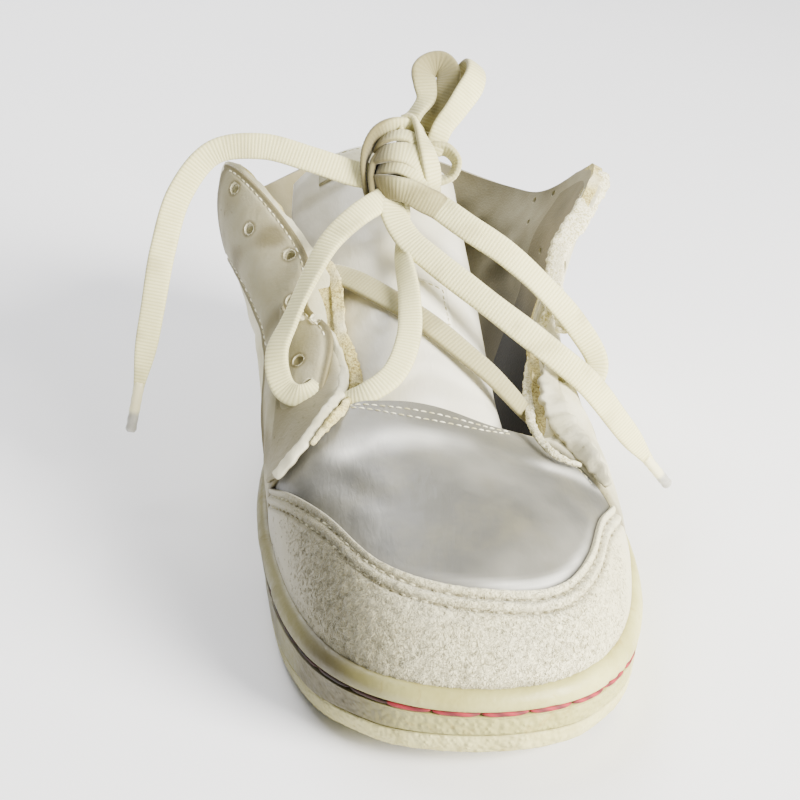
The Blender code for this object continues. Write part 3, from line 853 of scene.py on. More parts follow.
@dataclass(frozen=True)
class Suede:
    """Hairy suede: a split hide brushed to a long curly nap, rubbed smooth and greasy at its ends."""

    name: str = "hairy_suede"
    tip: str = "#e8e1b9"
    root: str = "#958e6a"
    rubbed: str = "#d8d0a2"
    dulled: str = "#cfc9ad"
    # darkest colour, for dirt and for painted shade
    dirt_and_shade: str = "#6a623f"
    bend_mm: float = 3
    patch_mm: float = 16
    curl_mm: float = 1.0

    def material(self) -> bpy.types.Material:
        """Builds the material, which reads the "nap" and "soil" attributes.

        Returns:
            The finished material.
        """
        made, tree, shader, place = blank(self.name)
        bends = {"Vector": place, "Scale": METRE / self.bend_mm, "Detail": 2}
        bend = add(tree, "TexNoise", bends, "Color")
        shift = {0: bend, 1: (0.0022, 0.0022, 0.0022), 2: place}
        moved = add(tree, "VectorMath", shift, operation="MULTIPLY_ADD")
        curls = {"Vector": moved, "Scale": METRE / self.curl_mm, "Detail": 3}
        curl = add(tree, "TexNoise", curls | {"Roughness": 0.6, "Distortion": 1.4})
        nap = add(tree, "Attribute", {}, "Fac", attribute_name="nap")
        deep = add(tree, "MapRange", {0: curl, 1: 0.36, 2: 0.56})
        hair = {0: deep, 6: linear(self.root), 7: linear(self.tip)}
        hair = add(tree, "Mix", hair, 2, data_type="RGBA")
        tone = add(tree, "Mix", {0: nap, 6: linear(self.rubbed), 7: hair}, 2, data_type="RGBA")
        patch = add(tree, "TexNoise", {"Vector": place, "Scale": METRE / self.patch_mm, "Detail": 4})
        dull = add(tree, "MapRange", {0: patch, 1: 0.45, 2: 0.72, 4: 0.45})
        soil_and_shade = add(tree, "Attribute", {}, "Fac", attribute_name="soil_and_shade")
        for share, colour in (dull, self.dulled), (soil_and_shade, self.dirt_and_shade):
            tone = add(tree, "Mix", {0: share, 6: tone, 7: linear(colour)}, 2, data_type="RGBA")
        strength = add(tree, "MapRange", {0: nap, 3: 0.12, 4: 1.0})
        bump = add(tree, "Bump", {"Height": curl, "Distance": 0.0007, "Strength": strength})
        shine = add(tree, "MapRange", {0: nap, 3: 0.62, 4: 0.96})
        fill(tree, shader, {"Base Color": tone, "Normal": bump, "Roughness": shine})
        fill(tree, shader, {"Sheen Weight": 0.35, "Sheen Roughness": 0.6})
        return made


@dataclass(frozen=True)
class Leather:
    """Corrected-grain leather, pigmented off-white, with cracked folds, rubbed dirt and pin-sized specks."""

    name: str = "white_leather"
    base: str = "#dcd7bb"
    shade: str = "#bcb68f"
    # dark colour for dirt and for painted shade on the lateral flap
    dirt_and_shade: str = "#685f3d"
    speck: str = "#7d765b"
    roughness: float = 0.55
    patch_mm: float = 18
    speck_mm: float = 6.5
    grain_mm: float = 0.9
    crack_mm: float = 7.0

    def material(self) -> bpy.types.Material:
        """Builds the material, which reads the "soil" attribute.

        Returns:
            The finished material.
        """
        made, tree, shader, place = blank(self.name)
        patches = {"Vector": place, "Scale": METRE / self.patch_mm, "Detail": 5, "Roughness": 0.6}
        broad = add(tree, "TexNoise", patches)
        aged = add(tree, "MapRange", {0: broad, 1: 0.4, 2: 0.7})
        soil_and_shade = add(tree, "Attribute", {}, "Fac", attribute_name="soil_and_shade")
        specks = add(tree, "TexVoronoi", {"Vector": place, "Scale": METRE / self.speck_mm})
        speck = add(tree, "MapRange", {0: specks, 1: 0.05, 2: 0.09, 3: 0.55, 4: 0.0})
        tone = linear(self.base)
        for share, colour in (aged, self.shade), (soil_and_shade, self.dirt_and_shade), (speck, self.speck):
            tone = add(tree, "Mix", {0: share, 6: tone, 7: linear(colour)}, 2, data_type="RGBA")
        grain = add(tree, "TexNoise", {"Vector": place, "Scale": METRE / self.grain_mm, "Detail": 3})
        folds = {"Vector": place, "Scale": METRE / self.crack_mm, "Detail": 4, "Distortion": 1.2}
        cracks = add(tree, "TexNoise", folds, noise_type="RIDGED_MULTIFRACTAL")
        sharp = add(tree, "Math", {0: cracks, 1: -1.6, 2: grain}, operation="MULTIPLY_ADD")
        bump = add(tree, "Bump", {"Height": sharp, "Distance": 0.0003, "Strength": 0.5})
        gloss = add(tree, "MapRange", {0: grain, 3: self.roughness - 0.08, 4: self.roughness + 0.12})
        fill(tree, shader, {"Base Color": tone, "Normal": bump, "Roughness": gloss})
        return made


@dataclass(frozen=True)
class Textile:
    """Brushed knit lining, matt and pilled, greyed by wear."""

    name: str = "knit_lining"
    base: str = "#6c6342"
    pale: str = "#857b5c"
    # near-black, for dirt and for the painted shadow inside the throat
    dirt_and_shade: str = "#1d1912"
    patch_mm: float = 20
    thread_mm: float = 0.9

    def material(self) -> bpy.types.Material:
        """Builds the material, which reads the "soil" attribute.

        Returns:
            The finished material.
        """
        made, tree, shader, place = blank(self.name)
        broad = add(tree, "TexNoise", {"Vector": place, "Scale": METRE / self.patch_mm, "Detail": 4})
        worn = add(tree, "MapRange", {0: broad, 1: 0.35, 2: 0.7})
        soil_and_shade = add(tree, "Attribute", {}, "Fac", attribute_name="soil_and_shade")
        tone = linear(self.base)
        for share, colour in (worn, self.pale), (soil_and_shade, self.dirt_and_shade):
            tone = add(tree, "Mix", {0: share, 6: tone, 7: linear(colour)}, 2, data_type="RGBA")
        knit = add(tree, "TexVoronoi", {"Vector": place, "Scale": METRE / self.thread_mm})
        bump = add(tree, "Bump", {"Height": knit, "Distance": 0.00014, "Strength": 0.5})
        fill(tree, shader, {"Base Color": tone, "Normal": bump, "Roughness": 0.92, "Sheen Weight": 0.08})
        return made


@dataclass(frozen=True)
class Foam:
    """Torn polyurethane foam, yellowed and crumbling, with open cells."""

    name: str = "torn_foam"
    base: str = "#c8bb7c"
    shade: str = "#8b7c48"
    bleached: str = "#d2ccab"
    patch_mm: float = 11
    cell_mm: float = 0.7

    def material(self) -> bpy.types.Material:
        """Builds the material.

        Returns:
            The finished material.
        """
        made, tree, shader, place = blank(self.name)
        crumbs = {"Vector": place, "Scale": METRE / self.cell_mm, "Detail": 3, "Distortion": 0.8}
        cells = add(tree, "TexNoise", crumbs)
        deep = add(tree, "MapRange", {0: cells, 1: 0.38, 2: 0.58})
        broad = add(tree, "TexNoise", {"Vector": place, "Scale": METRE / self.patch_mm, "Detail": 3})
        white = add(tree, "MapRange", {0: broad, 1: 0.5, 2: 0.75, 4: 0.7})
        tone = linear(self.shade)
        for share, colour in (deep, self.base), (white, self.bleached):
            tone = add(tree, "Mix", {0: share, 6: tone, 7: linear(colour)}, 2, data_type="RGBA")
        bump = add(tree, "Bump", {"Height": cells, "Distance": 0.0005, "Strength": 0.8})
        fill(tree, shader, {"Base Color": tone, "Normal": bump, "Roughness": 0.97})
        return made


@dataclass(frozen=True)
class Rubber:
    """Moulded rubber, once white and now yellowed, scuffed and stained, pebbled where the mould was."""

    name: str = "yellowed_rubber"
    base: str = "#cdc885"
    aged: str = "#b4ad66"
    # dark colour for dirt and for painted shade on the lateral side and low on the cup
    grime_and_shade: str = "#4f4828"
    stain: str = "#a98f45"
    roughness: float = 0.42
    pebble_mm: float = 1.5
    patch_mm: float = 24
    stain_mm: float = 7
    scuff_mm: float = 2.6

    def material(self) -> bpy.types.Material:
        """Builds the material, which reads the "soil" and "pebble" attributes.

        Returns:
            The finished material.
        """
        made, tree, shader, place = blank(self.name)
        patches = {"Vector": place, "Scale": METRE / self.patch_mm, "Detail": 5, "Roughness": 0.6}
        aged = add(tree, "MapRange", {0: add(tree, "TexNoise", patches), 1: 0.38, 2: 0.68})
        stains = {"Vector": place, "Scale": METRE / self.stain_mm, "Detail": 5}
        spots = add(tree, "TexNoise", stains | {"Roughness": 0.75, "Distortion": 0.7})
        stained = add(tree, "MapRange", {0: spots, 1: 0.57, 2: 0.72, 4: 0.7})
        soil_and_shade = add(tree, "Attribute", {}, "Fac", attribute_name="soil_and_shade")
        tone = linear(self.base)
        for share, colour in (aged, self.aged), (stained, self.stain), (soil_and_shade, self.grime_and_shade):
            tone = add(tree, "Mix", {0: share, 6: tone, 7: linear(colour)}, 2, data_type="RGBA")
        pebble = add(tree, "Attribute", {}, "Fac", attribute_name="pebble")
        grit = {"Vector": place, "Scale": METRE / self.pebble_mm}
        stones = add(tree, "TexVoronoi", grit, feature="SMOOTH_F1")
        raised = add(tree, "Math", {0: stones, 1: pebble}, operation="MULTIPLY")
        rubs = {"Vector": place, "Scale": METRE / self.scuff_mm, "Detail": 5, "Roughness": 0.7}
        scuffs = add(tree, "TexNoise", rubs)
        height = add(tree, "Math", {0: scuffs, 1: 0.22, 2: raised}, operation="MULTIPLY_ADD")
        relief = {"Height": height, "Distance": 0.0009, "Strength": 0.7}
        bump = add(tree, "Bump", relief, invert=True)
        sheen = {0: spots, 1: 0.3, 2: 0.7, 3: self.roughness - 0.08, 4: self.roughness + 0.22}
        gloss = add(tree, "MapRange", sheen)
        fill(tree, shader, {"Base Color": tone, "Normal": bump, "Roughness": gloss})
        return made


@dataclass(frozen=True)
class Yarn:
    """Twisted polyester sewing thread, waxed where it is thick."""

    name: str
    base: str
    shade: str
    twist_mm: float = 1.1

    def material(self) -> bpy.types.Material:
        """Builds the material.

        Returns:
            The finished material.
        """
        made, tree, shader, place = blank(self.name)
        turned = add(tree, "Mapping", {"Vector": place, "Rotation": (0.6, 0.4, 0.8)})
        plies = {"Vector": turned, "Scale": METRE / self.twist_mm / 6.3, "Distortion": 0.8}
        twist = add(tree, "TexWave", plies, "Fac", bands_direction="DIAGONAL")
        tones = {0: twist, 6: linear(self.shade), 7: linear(self.base)}
        tone = add(tree, "Mix", tones, 2, data_type="RGBA")
        bump = add(tree, "Bump", {"Height": twist, "Distance": 0.0002, "Strength": 0.6})
        fill(tree, shader, {"Base Color": tone, "Normal": bump, "Roughness": 0.75})
        return made


@dataclass(frozen=True)
class LaceCloth:
    """Flat tubular lace of cotton and polyester, woven in crosswise ribs, ivory, with dirt and painted shade
    in its folds and painted shade between its ribs.

    The UV map gives millimetres across and along the lace. Threads finer than the ribs show as fuzz.
    """

    name: str = "ribbed_lace"
    base: str = "#ebe5ad"
    gap_shade: str = "#cbc486"
    worn: str = "#d3cb90"
    # dark colour for dirt and for the painted shade in the knot, loops and crossing
    dirt_and_shade: str = "#6f6640"
    patch_mm: float = 14
    fuzz_mm: float = 0.6
    rib_mm: float = 1.15

    def material(self) -> bpy.types.Material:
        """Builds the material, which reads the UV map and the "soil" attribute.

        Returns:
            The finished material.
        """
        made, tree, shader, place = blank(self.name)
        along = add(tree, "SeparateXYZ", {0: add(tree, "TexCoord", {}, "UV")}, "Y")
        # painted shade between the ribs: the gap colour on their sides, the base colour on their tops
        angle = add(tree, "Math", {0: along, 1: 2 * math.pi / self.rib_mm}, operation="MULTIPLY")
        wave = add(tree, "Math", {0: angle}, operation="SINE")
        rib = add(tree, "MapRange", {0: wave, 1: -1.0, 2: 0.4, 3: 0.3})
        broad = add(tree, "TexNoise", {"Vector": place, "Scale": METRE / self.patch_mm, "Detail": 4})
        worn = add(tree, "MapRange", {0: broad, 1: 0.5, 2: 0.8, 4: 0.5})
        soil_and_shade = add(tree, "Attribute", {}, "Fac", attribute_name="soil_and_shade")
        tone = linear(self.gap_shade)
        for share, colour in (rib, self.base), (worn, self.worn), (soil_and_shade, self.dirt_and_shade):
            tone = add(tree, "Mix", {0: share, 6: tone, 7: linear(colour)}, 2, data_type="RGBA")
        fuzz = add(tree, "TexNoise", {"Vector": place, "Scale": METRE / self.fuzz_mm, "Detail": 2})
        bump = add(tree, "Bump", {"Height": fuzz, "Distance": 0.0002, "Strength": 0.5})
        fill(tree, shader, {"Base Color": tone, "Normal": bump, "Roughness": 0.9, "Sheen Weight": 0.3})
        return made


@dataclass(frozen=True)
class Tip:
    """Heat-shrunk acetate tip: a thin clear film over the pressed lace, scratched dull."""

    name: str = "acetate_tip"
    base: str = "#b9b7ad"
    scratched: str = "#8f8c80"
    lace: str = "#e3dcb0"

    def material(self) -> bpy.types.Material:
        """Builds the material.

        Returns:
            The finished material.
        """
        made, tree, shader, place = blank(self.name)
        worn = add(tree, "TexNoise", {"Vector": place, "Scale": METRE / 2, "Detail": 3})
        film = {0: worn, 6: linear(self.scratched), 7: linear(self.base)}
        film = add(tree, "Mix", film, 2, data_type="RGBA")
        soil_and_shade = add(tree, "Attribute", {}, "Fac", attribute_name="soil_and_shade")
        tone = add(tree, "Mix", {0: soil_and_shade, 6: linear(self.lace), 7: film}, 2, data_type="RGBA")
        fill(tree, shader, {"Base Color": tone, "Roughness": 0.3, "Coat Weight": 0.5})
        return made


@dataclass(frozen=True)
class Paper:
    """Seamless studio paper, matt and pale."""

    name: str = "studio_paper"
    base: str = "#fbfbfd"
    shade: str = "#f6f6fa"

    def material(self) -> bpy.types.Material:
        """Builds the material.

        Returns:
            The finished material.
        """
        made, tree, shader, place = blank(self.name)
        grain = add(tree, "TexNoise", {"Vector": place, "Scale": 9.0})
        tones = {0: grain, 6: linear(self.shade), 7: linear(self.base)}
        tone = add(tree, "Mix", tones, 2, data_type="RGBA")
        fill(tree, shader, {"Base Color": tone, "Roughness": 0.9})
        return made


class Wardrobe:
    """The materials of the whole shoe, each made once."""

    def __init__(self) -> None:
        """Builds every finish."""
        self.satin = Satin().material()
        self.suede = Suede().material()
        self.leather = Leather().material()
        self.lining = Textile().material()
        self.tongue_satin = Satin("tongue_satin", "#d2cdb8", "#ece9dc", "#d3ceb2", "#8f886c", 0.28).material()
        self.batting = Foam("cream_batting", "#e2dcbf", "#aba370").material()
        self.pale_lining = Textile("pale_lining", "#857d5d", "#a49d80", "#544d35").material()
        self.foam = Foam().material()
        self.rubber = Rubber().material()
        self.tread = Rubber("tread_rubber", "#d3cd94", "#b8b074", "#514a2b", "#a08a48", 0.55, 1.4).material()
        self.red = Yarn("red_thread", "#931f2b", "#5e141c", 1.4).material()
        self.cream = Yarn("cream_thread", "#e9e5cc", "#aba47c").material()
        self.darkened_red = Yarn("darkened_thread", "#3c2019", "#1f1510").material()
        self.dull = Yarn("dull_thread", "#bdb797", "#6b6447").material()
        self.lace = LaceCloth().material()
        self.tip = Tip().material()
        self.patch = Textile("patch_cloth", "#e6e2cf", "#f1eedf", "#8f8a6c").material()
        self.paper = Paper().material()


def dress(obj: bpy.types.Object, slot: str, *materials: bpy.types.Material) -> bpy.types.Object:
    """Gives a piece its materials and its body.

    Args:
        obj: The finished piece.
        slot: Name of a material slot. Not used.
        materials: One for each material index.

    Returns:
        The piece.
    """

    for made in materials:
        obj.data.materials.append(made)
    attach(obj, "root")
    LOG.info("%s: %d faces", obj.name, len(obj.data.polygons) if obj.type == "MESH" else 0)
    return obj


# ---- sole


@dataclass
class Sole:
    """Tread plate, cup with its stitched groove, and insole."""

    height: float = 6.5
    seam_out: float = 4.5
    groove_drop: float = 6.3
    groove_depth: float = 1.7
    columns: int = 600
    tread_depth: float = 1.8
    tread_width: float = 3.2
    centre: tuple = (2.0, -105.0)
    stitch: float = 12.2
    thread_radius: float = 0.85
    dents: tuple = (
        (13.25, 0.035, 0.45), (13.42, 0.03, 0.5), (13.6, 0.04, 0.4), (12.55, 0.05, 0.2), (9.3, 0.05, 0.3),
    )

    def around(self) -> Array:
        """Turns of the columns round the sole."""
        return np.linspace(0, TURNS, self.columns + 1)

    def ring(self, profile: Sequence, rise: Callable) -> Place:
        """A surface through a profile that runs round the sole.

        Args:
            profile: Rows of height and reach, in order.
            rise: Turns turn and profile height into height above the floor.

        Returns:
            The surface, whose second number counts the profile's rows.
        """
        table = np.array(profile, float)

        def place(turn: Array, row: Array) -> Array:
            """Points beside the skin at the profile's height and reach."""
            height, out = (np.interp(row, np.arange(len(table)), column) for column in table.T)
            return LAST.beside(turn, rise(turn, height), out)

        return place

    def toward_centre(self, points: Array, share: Array, height: float) -> Array:
        """Moves points inward over the sole's flat faces.

        Args:
            points: Places on the edge.
            share: 0 keeps the edge and 1 reaches the middle.
            height: The face's height above the tread.

        Returns:
            Rows of x, y and z.
        """
        middle = np.array(self.centre)
        flat = points[:, :2] + share[:, None] * (middle - points[:, :2])
        return np.column_stack([flat, LAST.station(1, flat[:, 1]) + height])

    def closed_ring(
        self, name: str, profile: Sequence, rise: Callable, bottom: float, top: float
    ) -> bpy.types.Object:
        """A solid with a shaped side and two flat faces.

        Args:
            name: The piece's name.
            profile: Rows of height and reach of the side.
            rise: Height above the floor for turn and profile height.
            bottom: Height of the lower face above the tread.
            top: Height of the upper face above the tread.

        Returns:
            The closed mesh, whose "v" counts the profile's rows.
        """
        side = self.ring(profile, rise)
        last = len(profile) - 1
        inward = np.array((1.0, 0.7, 0.42, 0.2, 0.06))
        shares = np.concatenate([inward, np.zeros(last + 1), inward[::-1]])
        rows = np.concatenate([np.zeros(5), np.arange(last + 1), np.full(5, last)])
        sides = np.concatenate([np.full(5, -1), np.zeros(last + 1), np.full(5, 1)])

        def place(turn: Array, level: Array) -> Array:
            """Points of the shaped side and of both flat faces.

            Args:
                turn: Places round the shoe.
                level: Row numbers.

            Returns:
                Rows of x, y and z in millimetres.
            """
            index = np.rint(level).astype(int)
            points = side(turn, rows[index].astype(float))
            low = self.toward_centre(points, shares[index], bottom)
            high = self.toward_centre(points, shares[index], top)
            points = np.where((sides[index] < 0)[:, None], low, points)
            return np.where((sides[index] > 0)[:, None], high, points)

        made = lattice(name, self.around(), np.arange(len(shares)), place, (30.0, 1.0))
        note(made, "v", read(made, "v") - 5)
        weld(made)
        return made

    def above_tread(self, turn: Array, height: Array) -> Array:
        """Height above the floor for a height above the tread."""
        return LAST.tread(turn) + height

    def tread_plate(self, closet: Wardrobe) -> None:
        """The lowest plate: pebbled side and grooved walking face.

        Args:
            closet: The finishes.
        """
        profile = (
            (0.0, 1.2), (0.1, 2.3), (0.6, 3.0), (1.4, 3.55), (2.4, 4.0), (3.4, 4.35),
            (4.4, 4.5), (5.4, 4.55), (6.1, 4.5), (6.4, 4.2), (6.5, 3.6),
        )
        made = self.closed_ring("outsole_tread", profile, self.above_tread, 0.0, self.height)
        points, row, turn = coordinates(made), read(made, "v"), np.mod(read(made, "u"), TURNS)
        at_side = (row >= 1) & (row <= 8)
        around_toe = ramp(turn, 9.6, 10.8) * (1 - ramp(turn, 17.0, 19.0))
        lumps = 0.22 * uneven(points, 1.6, 3) * at_side * around_toe
        forward = np.where(points[:, 1] < -180, points[:, 1] + 180, 0)
        out = unit(np.column_stack([points[:, 0] - 2, forward, 0 * row]))
        set_coordinates(made, points + out * lumps[:, None])
        note(made, "pebble", at_side * (0.35 + 0.65 * around_toe))
        wear = 0.25 + 0.5 * ramp(uneven(points, 11, 5), 0.0, 0.8)
        # the plate's side darkens toward the lateral side as painted shade, with random dirt patches
        side_shade_and_dirt = 0.55 * ramp(-points[:, 0], 22, 44) + 0.2 * ramp(uneven(points, 9, 6), 0.1, 0.8)
        note(made, "soil_and_shade", np.where(at_side, side_shade_and_dirt, wear))
        self.cut_tread(made)
        soften(made, 35)
        dress(made, "cream_rubber", closet.tread)
        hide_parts("outsole")

    def cut_tread(self, plate: bpy.types.Object) -> None:
        """Cuts the round grooves at ball and heel and the straight ones at toe and back.

        Args:
            plate: The tread plate.
        """
        cutters = []
        corners = np.array(((0, -1), (1, -1), (1, 1), (0, 1), (0, -1)), float)
        rings = [(3.0, -150.0, radius) for radius in (10.0, 20.0, 30.0, 40.0)]
        for x, y, radius in rings + [(0.0, 0.0, 11.0), (0.0, 0.0, 22.0)]:

            def place(angle: Array, corner: Array) -> Array:
                """Points of a ring with a square section.

                Args:
                    angle: Angles round the section.
                    corner: Corner numbers of the section.

                Returns:
                    Rows of x, y and z in millimetres.
                """
                side, level = corners[np.rint(corner).astype(int)].T
                reach = radius + side * self.tread_width
                flat = [x + reach * np.cos(angle), y + reach * np.sin(angle)]
                return np.column_stack([*flat, level * self.tread_depth])

            cutters.append(lattice("cut", np.linspace(0, 2 * np.pi, 49), np.arange(5), place))
        for y, half in ((-206, 34), (-218, 28), (-230, 18), (34, 17)):
            deselect()
            level = float(LAST.station(1, np.array([y]))[0])
            bpy.ops.mesh.primitive_cube_add(size=1.0)
            cut = bpy.context.object
            points = coordinates(cut) * MM
            size = np.array((2 * half, self.tread_width, 2 * self.tread_depth))
            set_coordinates(cut, points * size + np.array((2.0, y, level)))
            cutters.append(cut)
        cutter = join(cutters, "tread_cutter")
        weld(cutter)
        only(plate)
        cut = plate.modifiers.new("grooves", "BOOLEAN")
        cut.object, cut.operation, cut.solver = cutter, "DIFFERENCE", "EXACT"
        bpy.ops.object.modifier_apply(modifier=cut.name)
        bpy.data.objects.remove(cutter)

    def sag(self, turn: Array) -> Array:
        """How far the groove runs lower on the medial side of the toe."""
        return 2.4 * ramp(turn, 12.2, 13.9) * (1 - ramp(turn, 16.0, 19.5))

    def lip_lumps(self, turn: Array, height: Array) -> Array:
        """Dents and worn swellings of the cup's side, in millimetres outward.

        Args:
            turn: Places round the shoe.
            height: Heights in millimetres.

        Returns:
            Lifts, one for each place.
        """
        points = np.column_stack([30 * turn, 0 * turn, height])
        out = 0.16 * uneven(points, 17, 1) + 0.07 * uneven(points, 5, 2)
        for place, width, depth in self.dents:
            out = out - depth * bell(turn, place, width)
        return out

    def cup(self, closet: Wardrobe) -> None:
        """The cup: lower band, stitched groove, rolled lip, inner wall and floor.

        Args:
            closet: The finishes.
        """
        drop, depth = self.groove_drop, self.groove_depth
        seam = [(0.05, 3.6), (0.15, 4.2), (0.6, 4.7), (1.4, 5.0), (2.6, 5.1), (4.0, 5.15)]
        lip = [
            (-drop - 1.5, 5.2), (-drop - 1.05, 5.15), (-drop - 0.85, 4.8), (-drop - 0.75, 4.2),
            (-drop - 0.5, 5.1 - depth), (-drop, 4.9 - depth), (-drop + 0.5, 5.1 - depth),
            (-drop + 0.72, 4.2), (-drop + 0.85, 4.7), (-drop + 1.2, 5.0), (-drop + 2.2, 5.2),
            (-drop + 3.4, 5.05), (-2.0, 4.55), (-1.1, 3.9), (-0.45, 3.1), (-0.1, 2.3),
            (0.0, 1.5), (-0.15, 0.8), (-0.6, 0.32),
        ]
        inner = [(-5.0, 0.3), (-9.0, 0.3), (-30.0, 0.3)]
        to_lip, to_wall = 50, 150
        profile = [*seam, *[(to_lip + h, o) for h, o in lip], *[(to_wall + h, o) for h, o in inner]]

        def rise(turn: Array, height: Array) -> Array:
            """Height above the floor: from the tread, from the lip or down the inner wall.

            Args:
                turn: Places round the shoe.
                height: Row heights in the profile's terms.

            Returns:
                Heights in millimetres.
            """
            base, top = LAST.tread(turn), LAST.lip(turn)
            from_seam = base + self.height + height
            from_lip = top + height - to_lip - self.sag(turn) * bell(height - to_lip, -drop, 3.6)
            from_wall = np.maximum(top + height - to_wall, base + LAST.CUP_FLOOR)
            return np.where(height < 20, from_seam, np.where(height < 90, from_lip, from_wall))

        made = self.closed_ring("midsole_cup", profile, rise, self.height + 0.05, LAST.CUP_FLOOR)
        points, row, turn = coordinates(made), read(made, "v"), np.mod(read(made, "u"), TURNS)
        at_side = (row >= 2) & (row <= len(seam) + 15)
        lumps = self.lip_lumps(turn, points[:, 2]) * at_side
        out = LAST.outward(turn)
        set_coordinates(made, points + out * lumps[:, None])
        groove = bell(row, len(seam) + 4, 2.0)
        stripped = 1 - ramp(turn, 10.6, 11.1) * (1 - ramp(turn, 23.0, 24.0))
        toe = ramp(turn, 9.8, 10.8) * (1 - ramp(turn, 14.6, 16.5))
        band = 1 - ramp(row, len(seam) - 0.5, len(seam) + 1.0)
        note(made, "pebble", 0.12 + 1.1 * toe * band)
        # painted shade: darker on the lateral side, over the lateral part of the toe, on the lower band at
        # the toe and along the cup's bottom edge; the groove and random patches take dirt, and the lip's top
        # edge is darker
        lateral = ramp(-points[:, 0], 12, 40) * (turn < 12)
        soil_and_shade = 0.8 * lateral + 0.3 * ramp(-points[:, 0], -45, 10) * toe + 0.14 * toe * band
        soil_and_shade += groove * (0.45 + 0.5 * stripped) + 0.12 * ramp(uneven(points, 13, 9), 0, 0.8)
        soil_and_shade += 0.35 * bell(row, 0.5, 1.2) + 0.3 * bell(row, len(seam) + 17, 1.0)
        note(made, "soil_and_shade", np.clip(soil_and_shade, 0, 1))
        soften(made, 50)
        dress(made, "yellowed_rubber", closet.rubber)
        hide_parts("midsole")

    def groove_thread(self, closet: Wardrobe) -> None:
        """The thick red thread in the groove, torn out along the lateral side of the toe.

        Args:
            closet: The finishes.
        """
        for name, first, last, thick, finish in (
            ("cup_thread", 11.15, 13.95, 1.0, closet.red),
            # on the lateral side of the toe the thread is thinner and a darker brown
            ("cup_thread_darkened", 9.0, 11.1, 0.7, closet.darkened_red),
            ("cup_thread_rear", 16.5, 30.6, 1.0, closet.red),
        ):
            turns = np.mod(np.linspace(first, last, 1600), TURNS)
            level = LAST.lip(turns) - self.groove_drop - self.sag(turns)
            places = frames_along(LAST.beside(turns, level, 4.45), LAST.outward(turns), self.stitch + 0.7)
            stitch = bead(self.stitch + 0.4, self.thread_radius * thick * 0.9, 8, 12)
            dress(scatter(name, stitch, places), "yellowed_rubber", finish)

    def insole(self, closet: Wardrobe) -> None:
        """The pad inside, darkened where heel and ball pressed.

        Args:
            closet: The finishes.
        """
        floor, thick = LAST.CUP_FLOOR + LAST.GAP, 3.5
        side = ((0.0, -3.2), (0.5, -3.1), (3.0, -3.1), (3.4, -3.3), (thick, -3.9))
        profile = [(floor + height, out) for height, out in side]
        made = self.closed_ring("insole_pad", profile, self.above_tread, floor, floor + thick)
        points = coordinates(made)
        print_of_foot = bell(points[:, 1], 5, 26) + bell(points[:, 1], -140, 38)
        note(made, "soil_and_shade", np.clip(0.7 * print_of_foot * ramp(uneven(points, 9, 4), -0.5, 0.6), 0, 1))
        soften(made, 50)
        dress(made, "grey_lining", closet.pale_lining)
        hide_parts("insole")

    def build(self, closet: Wardrobe) -> None:
        """Builds the sole's pieces.

        Args:
            closet: The finishes.
        """
        self.tread_plate(closet)
        self.cup(closet)
        self.groove_thread(closet)
        self.insole(closet)


# ---- upper

CAP_EDGE = (
    (8.4, 0.38), (9.2, 0.48), (10.1, 0.525), (11.0, 0.495), (12.0, 0.45),
    (12.9, 0.435), (13.6, 0.47), (14.2, 0.51), (14.8, 0.475),
)
STAY_LOW = 0.62
EYELETS_LATERAL = (
    (7.6, 0.9), (7.2, 0.83), (6.75, 0.91), (6.35, 0.84), (5.9, 0.92), (5.5, 0.85), (5.15, 0.92),
)
EYELETS_MEDIAL = (
    (16.5, 0.88), (16.95, 0.81), (17.4, 0.89), (17.85, 0.83), (18.25, 0.92), (18.6, 0.85), (18.95, 0.92),
)


def above_lip(turn: Array) -> Array:
    """The climb just above the sole's lip."""
    turn = np.asarray(turn, float)
    return LAST.climb_at(turn, LAST.lip(turn) - 1.0)


def cap_edge(turn: Array) -> Array:
    """The climb of the toe cap's rear edge."""
    return through(CAP_EDGE, turn)[:, 0]


def lateral_low(turn: Array) -> Array:
    """The climb of the lateral eyestay's lower edge."""
    low = above_lip(turn)
    return low + (STAY_LOW - low) * ramp(8.2 - turn, 0.0, 1.6)


def medial_low(turn: Array) -> Array:
    """The climb of the medial eyestay's lower edge."""
    low = above_lip(turn)
    return low + (STAY_LOW - low) * ramp(turn - 15.2, 0.0, 1.9)


def lateral_high(turn: Array) -> Array:
    """The climb of the lateral eyestay's upper edge, which is torn lower in the middle."""
    return 0.985 - 0.09 * bell(turn, 6.5, 0.4)


def medial_high(turn: Array) -> Array:
    """The climb of the medial eyestay's upper edge, which is torn lower in front."""
    return 0.985 - 0.09 * ramp(17.6 - turn, 0, 0.8)


def counter_high(turn: Array) -> Array:
    """The climb of the heel counter's upper edge, highest at the back seam."""
    return 0.72 - 0.42 * ramp(np.abs(turn - TURNS), 1.2, 3.4)


def lean(turn: Array, climb: Array) -> Array:
    """How far the lateral eyestay's torn front leans over the vamp, in turns."""
    return 0.62 * ramp(climb, 0.3, 0.68) * ramp(turn, 7.3, 8.4)


def curl(turn: Array, climb: Array) -> Array:
    """How far the lateral eyestay's upper edge stands off the skin, in millimetres."""
    return 2.2 * ramp(climb, 0.75, 0.99) * bell(turn, 7.0, 0.9)


def flat(turn: Array, climb: Array) -> Array:
    """Neither lean nor curl."""
    return 0.0 * turn


def rib_length(turn: Array, low: Array, high: Array) -> Array:
    """Length in millimetres of each rib between two climbs.

    Args:
        turn: Places round the shoe.
        low: First climb of each.
        high: Last climb of each.

    Returns:
        Lengths, one for each rib.
    """
    steps = np.linspace(0, 1, 9)
    points = [LAST.bare(turn, low + (high - low) * step) for step in steps]
    return sum(np.linalg.norm(b - a, axis=1) for a, b in zip(points, points[1:]))


class Facing(Enum):
    """The shell's finishes, in the order of its material slots."""

    LEATHER = 0
    SATIN = 1
    LINING = 2
    PALE_LINING = 3
    FOAM = 4


